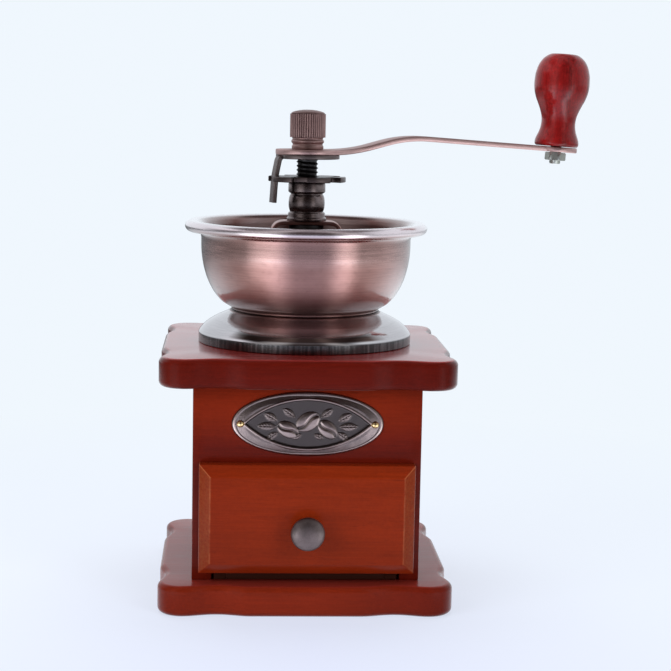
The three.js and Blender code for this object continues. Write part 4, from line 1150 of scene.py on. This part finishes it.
def toothed(bottom, top, rows, sides, outside, inside):
    """A closed ring between two skins, each a radius by angle and by share of height."""
    form = Form()
    rings = []
    for skin, order in ((outside, range(rows + 1)), (inside, range(rows, -1, -1))):
        for share in [row / rows for row in order]:
            z = bottom + share * (top - bottom)
            ring = []
            for turn in [i * math.tau / sides for i in range(sides)]:
                radius = skin(turn, share)
                ring.append((radius * math.cos(turn), radius * math.sin(turn), z))
            rings.append(form.ring(ring))
    return form.stack(rings, True)


def saw(turn, teeth, shift):
    """Saw tooth, 0 at its tip, with a short steep flank."""
    flank = 0.14
    place = (turn / math.tau * teeth + shift) % 1
    return min(place / (1 - flank), (1 - place) / flank)


class MILL_OT_burrs(bpy.types.Operator):
    """Makes the burrs, their housing and their fixing"""
    bl_idname = "mill.burrs"
    bl_label = "Burrs"

    def execute(self, context):
        iron = plain_metal("machined_iron", (0.22, 0.215, 0.21), 0.5, 0.7, 1.2)
        low, high = corners("burr_housing")
        plate = corners("top_plate")[1].z
        burr_low, burr_high = corners("outer_burr")
        shoulder = burr_high.z
        profile = [(19.8, low.z), (23.0, low.z), (23.0, plate), (29.4, plate), (29.4, high.z), (20.3, high.z),
                   (16.5, plate), (16.5, shoulder), (19.8, shoulder)]
        carrier = turned_ring("burr_carrier", profile, 0.6, 128)
        finished(carrier, "housing", ["burr_housing"], iron)
        bore_low, taper, tooth, twist = 17.6, 2.8, 1.1, 0.9

        def bore(turn, share):
            return bore_low - taper * share + tooth * saw(turn, 24, -share * twist)

        ring = toothed(burr_low.z, burr_high.z, 14, 24 * 8, lambda turn, share: 19.5, bore)
        finished(loose("toothed_ring", ring), "housing", ["outer_burr"], iron, 25)
        low, high = corners("inner_burr")
        cone, cone_low, top_taper = (shoulder - low.z) / (high.z - low.z), 16.7, 5.7

        def cutter(turn, share):
            if share <= cone:
                return cone_low - taper * share / cone - tooth * saw(turn, 12, share * twist)
            up = (share - cone) / (1 - cone)
            depth = tooth + min(up * 2, 1) * 1.5 * (1 - up / 2)
            return cone_low - taper - top_taper * up - depth * saw(turn, 4, share * twist)

        rod = 4.2
        cone_form = toothed(low.z, high.z, 44, 144, cutter, lambda turn, share: rod).turned(CRANK)
        finished(loose("toothed_cone", cone_form), "crank", ["inner_burr"], iron, 25)
        low, high = corners("burr_washer")
        washer = turned_ring("burr_washer_disc", band(rod, 9.0, low.z, high.z), 0.3, 64)
        finished(washer, "crank", ["burr_washer"], zinc())
        low, high = corners("burr_nut")
        nut = loose("burr_nut_hex", hex_nut(13.0, rod, low.z, high.z).turned(CRANK))
        finished(nut, "crank", ["burr_nut"], zinc())
        return {"FINISHED"}


class MILL_OT_spring(bpy.types.Operator):
    """Winds the push spring"""
    bl_idname = "mill.spring"
    bl_label = "Push spring"

    def execute(self, context):
        low, high = corners("push_spring")
        radius, wire_radius, turns, steps_each = 6.0, 0.7, 9, 40
        closed, rise = 0.09, 2.0
        bottom, top = low.z + wire_radius, high.z - wire_radius
        steps = turns * steps_each
        path = []
        for i in range(steps + 1):
            share = i / steps
            ends = min(share, closed) / closed + max(share - 1 + closed, 0) / closed
            free = min(max((share - closed) / (1 - 2 * closed), 0), 1)
            turn = share * turns * math.tau
            z = bottom + ends * rise + free * (top - bottom - 2 * rise)
            path.append(Vector((radius * math.cos(turn), radius * math.sin(turn), z)))
        made = loose("wound_spring", Form().strand(path, circle(wire_radius, 12)).turned(CRANK))
        steel = plain_metal("spring_steel", (0.36, 0.35, 0.34), 0.3, 0.3)
        finished(made, None, ["push_spring"], steel, 60)
        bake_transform(made)
        return {"FINISHED"}


class MILL_OT_spindle(bpy.types.Operator):
    """Turns the spindle and cuts its thread"""
    bl_idname = "mill.spindle"
    bl_label = "Spindle"

    def execute(self, context):
        low, high = corners("spindle")
        shoulder = corners("inner_burr")[1].z + 0.25
        ring_low = corners("adjusting_ring")[0].z
        plate_low = corners("lock_plate")[1].z - 1.8
        core, full, thin, end = 4.05, 4.6, 3.9, 4.25
        profile = [(0, low.z), (thin - 0.6, low.z), (thin, low.z + 0.6), (thin, shoulder), (full, shoulder),
                   (full, ring_low - 0.6), (core, ring_low), (core, plate_low - 0.6), (end, plate_low),
                   (end, high.z - 0.6), (end - 0.6, high.z), (0, high.z)]
        rod = loose("threaded_spindle", Form().lathe(profile, 64))
        combined(rod, [Form().box((-7, y, plate_low - 0.25), (7, y + 3.2, high.z + 2)) for y in (-7, 3.8)])
        start, rise, crest = ring_low + 0.4, plate_low - ring_low - 0.75, 0.78
        shape = Shape("spindle_thread", Turns=rise / length("thread_pitch"), Radius=(full - crest) * MM,
                      Rise=rise * MM, Start=start * MM, Crest=crest * MM)
        turns, radius, height, foot, thick = shape.sizes
        spiral = shape.node("GeometryNodeCurveSpiral", 40, turns, radius, radius, height)
        level = shape.node("GeometryNodeSetCurveNormal", shape.raised(spiral, foot), mode="Z_UP")
        edge = shape.node("GeometryNodeCurvePrimitiveCircle", 4, None, None, None, thick)
        helix = shape.node("GeometryNodeCurveToMesh", level, edge, None, True)
        shape.work_on(rod, shape.join(shape.mesh, helix), black_steel())
        rod.data.transform(CRANK)
        finished(rod, "crank", ["spindle"], black_steel(), 30)
        return {"FINISHED"}


class MILL_OT_ring(bpy.types.Operator):
    """Makes the notched adjusting ring and the lock plate"""
    bl_idname = "mill.ring"
    bl_label = "Ring and lock plate"

    def execute(self, context):
        low, high = corners("adjusting_ring")
        radius, inner, half, notches, bore = 16.4, 12.2, 3.1, 6, 4.9
        pitch = math.tau / notches
        outer_turn, inner_turn = math.asin(half / radius), math.asin(half / inner)
        outline = []
        for notch in [i * pitch for i in range(notches)]:
            outline += arc(inner, [notch - inner_turn, notch + inner_turn])
            start, sweep = notch + outer_turn, pitch - 2 * outer_turn
            outline += arc(radius, [start + i / 14 * sweep for i in range(15)])
        form = Form().slab(eased(outline, 1.0, 5, True, 30), low.z, high.z, 0.4, 4, bore)
        ring = loose("notched_ring", form.turned(CRANK))
        metal = Brushed("dark_bronze_ring", colour("bronze"), roughness=0.32, dark=0.45, tarnish=0.5,
                        anisotropy=0.2)
        finished(ring, "adjuster", ["adjusting_ring"], metal.done())

        low, high = corners("lock_plate")
        thick, disc, bend, half = 1.8, 13.6, 12.0, 2.7
        cut = math.acos(bend / disc)
        outline = arc(disc, [cut - math.pi + k / 90 * 2 * (math.pi - cut) for k in range(91)])
        form = Form().slab(eased(outline, 0.8, 4, True, 20), high.z - thick, high.z, 0.35, 3, bore)
        plate = loose("lock_plate_disc", form)
        middle = high.z - thick / 2
        line = [(-7.0, middle), (-12.6, middle), (-14.3, middle - 8.5), (-15.0, low.z)]
        flat, upper, side = half - 0.35, thick / 2, 0.55 * thick / 2
        section = [(-flat, -upper), (flat, -upper), (half, -side), (half, side), (flat, upper),
                   (-flat, upper), (-half, side), (-half, -side)]
        tab = Form().strand(upright(eased(line, 1.9, 7, False, 3)), section)
        combined(plate, [tab], "UNION")
        plate.data.transform(CRANK)
        metal = Brushed("dull_copper_lock", (0.19, 0.152, 0.145), roughness=0.42, dark=0.5, tarnish=0.6,
                        anisotropy=0.2, round_z=False)
        finished(plate, "crank", ["lock_plate"], metal.done())
        return {"FINISHED"}


# Crank

ARM_THICK, ARM_REACH, ARM_RISE, ARM_PEAK = 2.2, 116.0, 6.6, 46.0


def arm_middle():
    """Height of the middle of the arm's flat part."""
    return corners("lock_plate")[1].z + ARM_THICK / 2


def drooped(place):
    """Height of the arm's middle at a place past its peak."""
    return arm_middle() + ARM_RISE - (place - ARM_PEAK) * math.tan(ARM_DROOP)


def on_arm_end(form):
    """Moves a form from its own axis, height 0 at the arm's top face, to the end of the arm."""
    top = drooped(ARM_REACH) + ARM_THICK / 2 / math.cos(ARM_DROOP)
    return form.turned(CRANK @ Matrix.Translation((ARM_REACH, 0, top)) @ Matrix.Rotation(ARM_DROOP, 4, "Y"))


class MILL_OT_crank_arm(bpy.types.Operator):
    """Bends the crank arm"""
    bl_idname = "mill.crank_arm"
    bl_label = "Crank arm"

    def execute(self, context):
        middle = arm_middle()
        hub, eye, strap, neck = 13.5, 9.2, 5.6, 24.0
        far = ARM_REACH + eye + 4
        line = eased([(-hub - 4, middle), (19.0, middle), (43.8, middle + ARM_RISE), (far, drooped(far))],
                     9.5, 14, False, 2)
        neck_turn = math.radians(42)
        neck_start = hub * math.cos(neck_turn)
        eye_start = ARM_REACH - math.sqrt(eye ** 2 - strap ** 2)

        def height(u):
            for (x0, z0), (x1, z1) in zip(line, line[1:]):
                if x0 <= u <= x1:
                    return z0 + (z1 - z0) * (u - x0) / (x1 - x0)
            return middle

        def half_width(u):
            if u < neck_start:
                return math.sqrt(max(hub ** 2 - u ** 2, 0))
            if u < neck:
                t = (u - neck_start) / (neck - neck_start)
                start, pull = hub * math.sin(neck_turn), strap + 0.5
                return (1 - t) ** 2 * start + 2 * t * (1 - t) * pull + t ** 2 * strap
            if u < eye_start:
                return strap
            return math.sqrt(max(eye ** 2 - (u - ARM_REACH) ** 2, 0))

        stations = [-hub * math.cos(math.radians(d)) for d in range(0, 132, 4)]
        stations += [neck_start + k for k in range(1, int(ARM_REACH - eye - 10))]
        stations += [ARM_REACH - eye * math.cos(math.radians(d)) for d in range(24, 181, 4)]
        form = Form()
        rows = []
        for u in sorted(set(round(u, 4) for u in stations)):
            along = Vector((1, 0, (height(u + 0.2) - height(u - 0.2)) / 0.4)).normalized()
            up = Vector((-along.z, 0, along.x))
            half = max(half_width(u), 0.05)
            edge = min(0.75, half * 0.6)
            drop = 0.75 * ARM_THICK / 2
            section = []
            for corner_y, corner_s, turn in ((1, -1, -90), (1, 1, 0), (-1, 1, 90), (-1, -1, 180)):
                for angle in [math.radians(turn + step * 22.5) for step in range(5)]:
                    y = corner_y * (half - edge) + edge * math.cos(angle)
                    s = corner_s * (ARM_THICK / 2 - drop) + drop * math.sin(angle)
                    section.append(Vector((u, y, height(u))) + up * s)
            rows.append(form.ring(section))
        arm = combined(loose("bent_arm", form.stack(rows)), [cylinder(4.6, middle - 4, middle + 4, 48)])
        arm.data.transform(CRANK)
        metal = Brushed("antique_copper_arm", (0.62, 0.41, 0.385), roughness=0.42, round_z=False, dark=0.5,
                        tarnish=0.5, anisotropy=0.3)
        finished(arm, "crank", ["crank_arm"], metal.done())
        return {"FINISHED"}


class MILL_OT_cap_nut(bpy.types.Operator):
    """Turns the cap nut and sets its ribs"""
    bl_idname = "mill.cap_nut"
    bl_label = "Cap nut"

    def execute(self, context):
        low, high = corners("cap_nut")
        radius, z, bore = (high.x - low.x) / 2, low.z, 4.9
        outer = [(6.4, 0), (6.7, 0.25), (6.7, 1.3), (6.45, 1.7), (6.3, 1.95), (6.3, 2.3), (6.65, 2.7),
                 (6.93, 3.0), (6.93, 3.6), (6.65, 3.95), (6.45, 4.2), (6.45, 4.7), (6.8, 4.95), (7.0, 5.1),
                 (7.0, 14.9), (7.2, 15.05), (6.6, 15.55), (5.3, 16.0), (3.6, 16.35), (1.9, 16.54), (0, 16.6)]
        profile = [(0, z + 13.0), (bore, z + 13.0), (bore, z)] + [(r, z + h) for r, h in outer]
        nut = loose("ribbed_nut", Form().lathe(eased(profile, 0.3, 3, False, 30), 96))
        metal = Brushed("antique_copper_nut", (0.42, 0.265, 0.245), roughness=0.46, dark=0.45, anisotropy=0.0,
                        tarnish=0.5)
        # painted shade between the ribs
        metal.shade_between_ribs(7.05, 7.42, z + 4.9, z + 15.0)
        metal = metal.done()
        depth, middle, tall = 0.46, z + 9.95, 9.8
        shape = Shape("nut_ribs", Ribs=context.scene.mill_sizes.ribs, Radius=(radius - depth) * MM,
                      Middle=middle * MM, Height=tall * MM, Depth=depth * MM)
        ribs, reach, middle, height, thick = shape.sizes
        spots = shape.raised(shape.node("GeometryNodeMeshCircle", ribs, reach), middle)
        rib = shape.node("GeometryNodeMeshCylinder", 10, None, None, thick, height)
        x, y, z = shape.node("GeometryNodeInputPosition").split()
        turn = shape.vector(0.0, 0.0, y.math("ARCTAN2", x))
        copies = shape.node("GeometryNodeInstanceOnPoints", spots, None, rib, None, None, turn)
        shape.work_on(nut, shape.join(shape.mesh, copies), metal)
        nut.data.transform(CRANK)
        finished(nut, "crank", ["cap_nut"], metal, 35)
        return {"FINISHED"}


class MILL_OT_grip(bpy.types.Operator):
    """Turns the grip and sets its bolt and nut"""
    bl_idname = "mill.grip"
    bl_label = "Grip"

    def execute(self, context):
        radius, tall, gap = 12.15, 40.4, 0.25
        shares = [(0.74, 0.0), (0.785, 0.014), (0.8, 0.04), (0.778, 0.075), (0.728, 0.115), (0.671, 0.158),
                  (0.634, 0.202), (0.619, 0.246), (0.622, 0.289), (0.645, 0.333), (0.691, 0.377),
                  (0.747, 0.42), (0.812, 0.464), (0.882, 0.508), (0.932, 0.551), (0.973, 0.595),
                  (0.994, 0.639), (1.0, 0.69), (0.985, 0.77), (0.955, 0.813), (0.913, 0.857), (0.847, 0.9),
                  (0.746, 0.944), (0.6, 0.98), (0.5, 0.996), (0.44, 1.0)]
        bore, sink, sink_radius = 2.8, tall - 5.0, 5.2
        profile = [(bore, 0)] + through([(radius * r, tall * h) for r, h in shares], 3)
        profile += [(sink_radius, tall - 0.3), (sink_radius, sink), (bore, sink)]
        form = Form().lathe(profile, 128, True).moved(0, 0, gap)
        wood = Wood("cherry_grip", colour("grip"), "Z", deep=0.3, light=1.6, gloss=0.17, coat=0.5, streak=1.3)
        finished(loose("turned_grip", on_arm_end(form)), "grip", ["grip"], wood.done(), 50)
        seat = sink + 0.5
        nut_top = -ARM_THICK - gap
        nut_low = nut_top - 3.5
        tip = nut_low - 1.5
        bolt = pan_screw(2.4, seat - tip, 4.4, 3.0, 1.0, 1.1, 0.5).moved(0, 0, seat)
        finished(loose("grip_pin", on_arm_end(bolt)), "crank", ["grip_bolt"], zinc())
        nut = loose("grip_nut_hex", on_arm_end(hex_nut(8.0, 2.5, nut_low, nut_top)))
        finished(nut, "crank", ["grip_nut"], zinc())
        return {"FINISHED"}


# Stage

IMAGE_SIDE, FOCAL_PIXELS, SENSOR = 671, 1787.33, 36


def boxes_ahead(x, y):
    """How much of the left and of the right light box stands in a direction across the floor."""
    lean = x / (y * -1.0).math("MAXIMUM", 0.01)
    return lean.within(-2.7, -1.0, -0.7, -0.3).math("MAXIMUM", lean.within(0.42, 0.8, 1.0, 1.6))


def chosen(net, lit, mirrored, seen):
    """One shader for light, one for reflections and one for the camera."""
    camera, glossy, clear = [net.node("ShaderNodeLightPath", out=f"Is {ray} Ray")
                             for ray in ("Camera", "Glossy", "Transmission")]
    first = net.node("ShaderNodeMixShader", glossy.math("MAXIMUM", clear), lit, mirrored)
    return net.node("ShaderNodeMixShader", camera, first, seen)


def floor_finish(near, far):
    """The floor shows its colour to the camera and in reflections, takes a shadow, and runs out into the
    backdrop."""
    surface = bpy.data.materials.new("stage_floor")
    surface.use_nodes = True
    net = Net(surface.node_tree)
    net.tree.nodes.clear()
    place = net.node("ShaderNodeTexCoord", out="Object")
    x, y, z = place.split()
    reach = place.distance()
    run_out = (y + abs(x) * 2.0).between(-0.25, 0.35)
    run_out.socket.node.interpolation_type = "SMOOTHSTEP"
    shown = net.mix(run_out.math("MAXIMUM", reach.between(0.7, 2.6)), rgba(near), rgba(far))
    shaded = reach.between(0.09, 0.42, 0.28, 0.0)
    glow = net.node("ShaderNodeEmission", shown, 1.0 - shaded)
    albedo = net.mix(shaded, (0, 0, 0, 1), rgba(near))
    seen = net.node("ShaderNodeAddShader", glow, net.node("ShaderNodeBsdfDiffuse", albedo))
    # In reflections the floor's glow is painted light: stronger near the mill, darker to its left and
    # brighter to its right, and bright where the two light boxes stand.
    behind = y.between(-0.15, 0.05) * x.between(-0.1, 0.25, -0.2, 0.22)
    lamps = boxes_ahead(x, y) * (reach.between(0.1, 0.2) * reach.between(0.2, 0.75, 3.4, 1.35))
    mirrored = net.node("ShaderNodeEmission", shown, reach.between(0.3, 0.85, 1.3, 0.4) + behind + lamps)
    plain = net.node("ShaderNodeBsdfDiffuse", (0.8, 0.8, 0.8, 1))
    net.end("ShaderNodeOutputMaterial", chosen(net, plain, mirrored, seen))
    return surface


def studio_world(back):
    """Soft light all round, and a studio with a bright back and two light boxes in reflections."""
    world = bpy.data.worlds.new("studio")
    world.use_nodes = True
    net = Net(world.node_tree)
    net.tree.nodes.clear()
    x, y, z = net.node("ShaderNodeTexCoord", out="Generated").split()
    above = z.within(0.3, 0.5, 0.62, 0.76) * y.between(-0.5, -0.1)
    dim = net.mix(z.between(0.8, 0.95), (0.05, 0.037, 0.036, 1), (0.26, 0.24, 0.26, 1))
    dim = net.mix(above, dim, (1.2, 1.2, 1.28, 1))
    lamps = boxes_ahead(x, y) * z.between(-0.05, 0.14, 0.6, 0.45)
    dim = net.vectors("ADD", dim, net.vector(lamps, lamps, lamps))
    behind = (y + x.between(0.0, 0.9, 0.0, 0.75)).between(-0.05, 0.5) * z.fading(0.7, 0.85)
    mirrored = net.node("ShaderNodeBackground", net.mix(behind, dim, rgba(back)), 1.0)
    lit = net.node("ShaderNodeBackground", (0.9, 0.93, 1.0, 1), 0.36)
    seen = net.node("ShaderNodeBackground", rgba(back), 1.0)
    net.end("ShaderNodeOutputWorld", chosen(net, lit, mirrored, seen))
    return world


class MILL_OT_stage(bpy.types.Operator):
    """Sets the camera, the floor, the backdrop and the lamps"""
    bl_idname = "mill.stage"
    bl_label = "Stage"

    def execute(self, context):
        scene, stage = context.scene, context.scene.mill_stage
        scene.view_settings.view_transform = "Standard"
        pan, tilt, roll = stage.view_pan, stage.view_tilt, stage.view_roll
        forward = Vector((math.sin(pan) * math.cos(tilt), math.cos(pan) * math.cos(tilt), -math.sin(tilt)))
        right = Vector((math.cos(pan), -math.sin(pan), 0))
        up = right.cross(forward)
        side = right * math.cos(roll) + up * math.sin(roll)
        top = up * math.cos(roll) - right * math.sin(roll)
        lens = bpy.data.cameras.new("view")
        lens.sensor_width = SENSOR
        lens.lens = FOCAL_PIXELS / IMAGE_SIDE * SENSOR
        lens.clip_start, lens.clip_end = 0.01, 50
        camera = bpy.data.objects.new("view", lens)
        scene.collection.objects.link(camera)
        turn = Matrix((side, top, -forward)).transposed().to_4x4()
        camera.matrix_world = Matrix.Translation(Vector(stage.view_place)) @ turn
        scene.camera = camera

        floor = loose("stage_floor", Form().box((-4000, -4000, -20), (4000, 4000, 0)))
        floor.data.materials.append(floor_finish(tuple(stage.floor), tuple(stage.back)))
        scene.world = studio_world(tuple(stage.back))
        for name, place, aim, size_x, size_y, power in (
                ("left_box", (-610, -550, 400), 400, 520, 780, 5.4),
                ("right_box", (495, -660, 400), 400, 280, 780, 3.7),
                ("over_box", (0, 260, 850), 100, 700, 500, 5.0)):
            lamp = bpy.data.lights.new(name, "AREA")
            lamp.shape = "RECTANGLE"
            lamp.size, lamp.size_y = size_x * MM, size_y * MM
            lamp.energy = power
            holder = bpy.data.objects.new(name, lamp)
            scene.collection.objects.link(holder)
            holder.visible_glossy = False
            holder.location = Vector(place) * MM
            holder.rotation_mode = "QUATERNION"
            holder.rotation_quaternion = (Vector((0, 0, aim * MM)) - holder.location).to_track_quat("-Z", "Y")
        return {"FINISHED"}


class MILL_PT_panel(bpy.types.Panel):
    """Lists the mill's settings and pieces"""
    bl_label = "Mill"
    bl_idname = "MILL_PT_panel"
    bl_space_type = "VIEW_3D"
    bl_region_type = "UI"
    bl_category = "Mill"

    def draw(self, context):
        for name in GROUPS:
            group = getattr(context.scene, name)
            box = self.layout.box()
            for key in group.__annotations__:
                box.prop(group, key)
        for operator in PIECES:
            self.layout.operator(operator.bl_idname)


GROUPS = {"mill_sizes": MillSizes, "mill_colours": MillColours, "mill_stage": MillStage}
PIECES = [MILL_OT_stage, MILL_OT_plates, MILL_OT_box, MILL_OT_drawer, MILL_OT_oval_plate, MILL_OT_hopper,
          MILL_OT_bridge, MILL_OT_screws, MILL_OT_burrs, MILL_OT_spring, MILL_OT_spindle, MILL_OT_ring,
          MILL_OT_crank_arm, MILL_OT_cap_nut, MILL_OT_grip]
CLASSES = [*GROUPS.values(), *PIECES, MILL_PT_panel]


def register():
    for kind in CLASSES:
        bpy.utils.register_class(kind)
    for name, group in GROUPS.items():
        setattr(bpy.types.Scene, name, PointerProperty(type=group))


def unregister():
    for name in GROUPS:
        delattr(bpy.types.Scene, name)
    for kind in reversed(CLASSES):
        bpy.utils.unregister_class(kind)


def main():
    register()
    for operator in PIECES:
        getattr(bpy.ops.mill, operator.bl_idname.split(".")[1])()


if __name__ == "__main__":
    main()
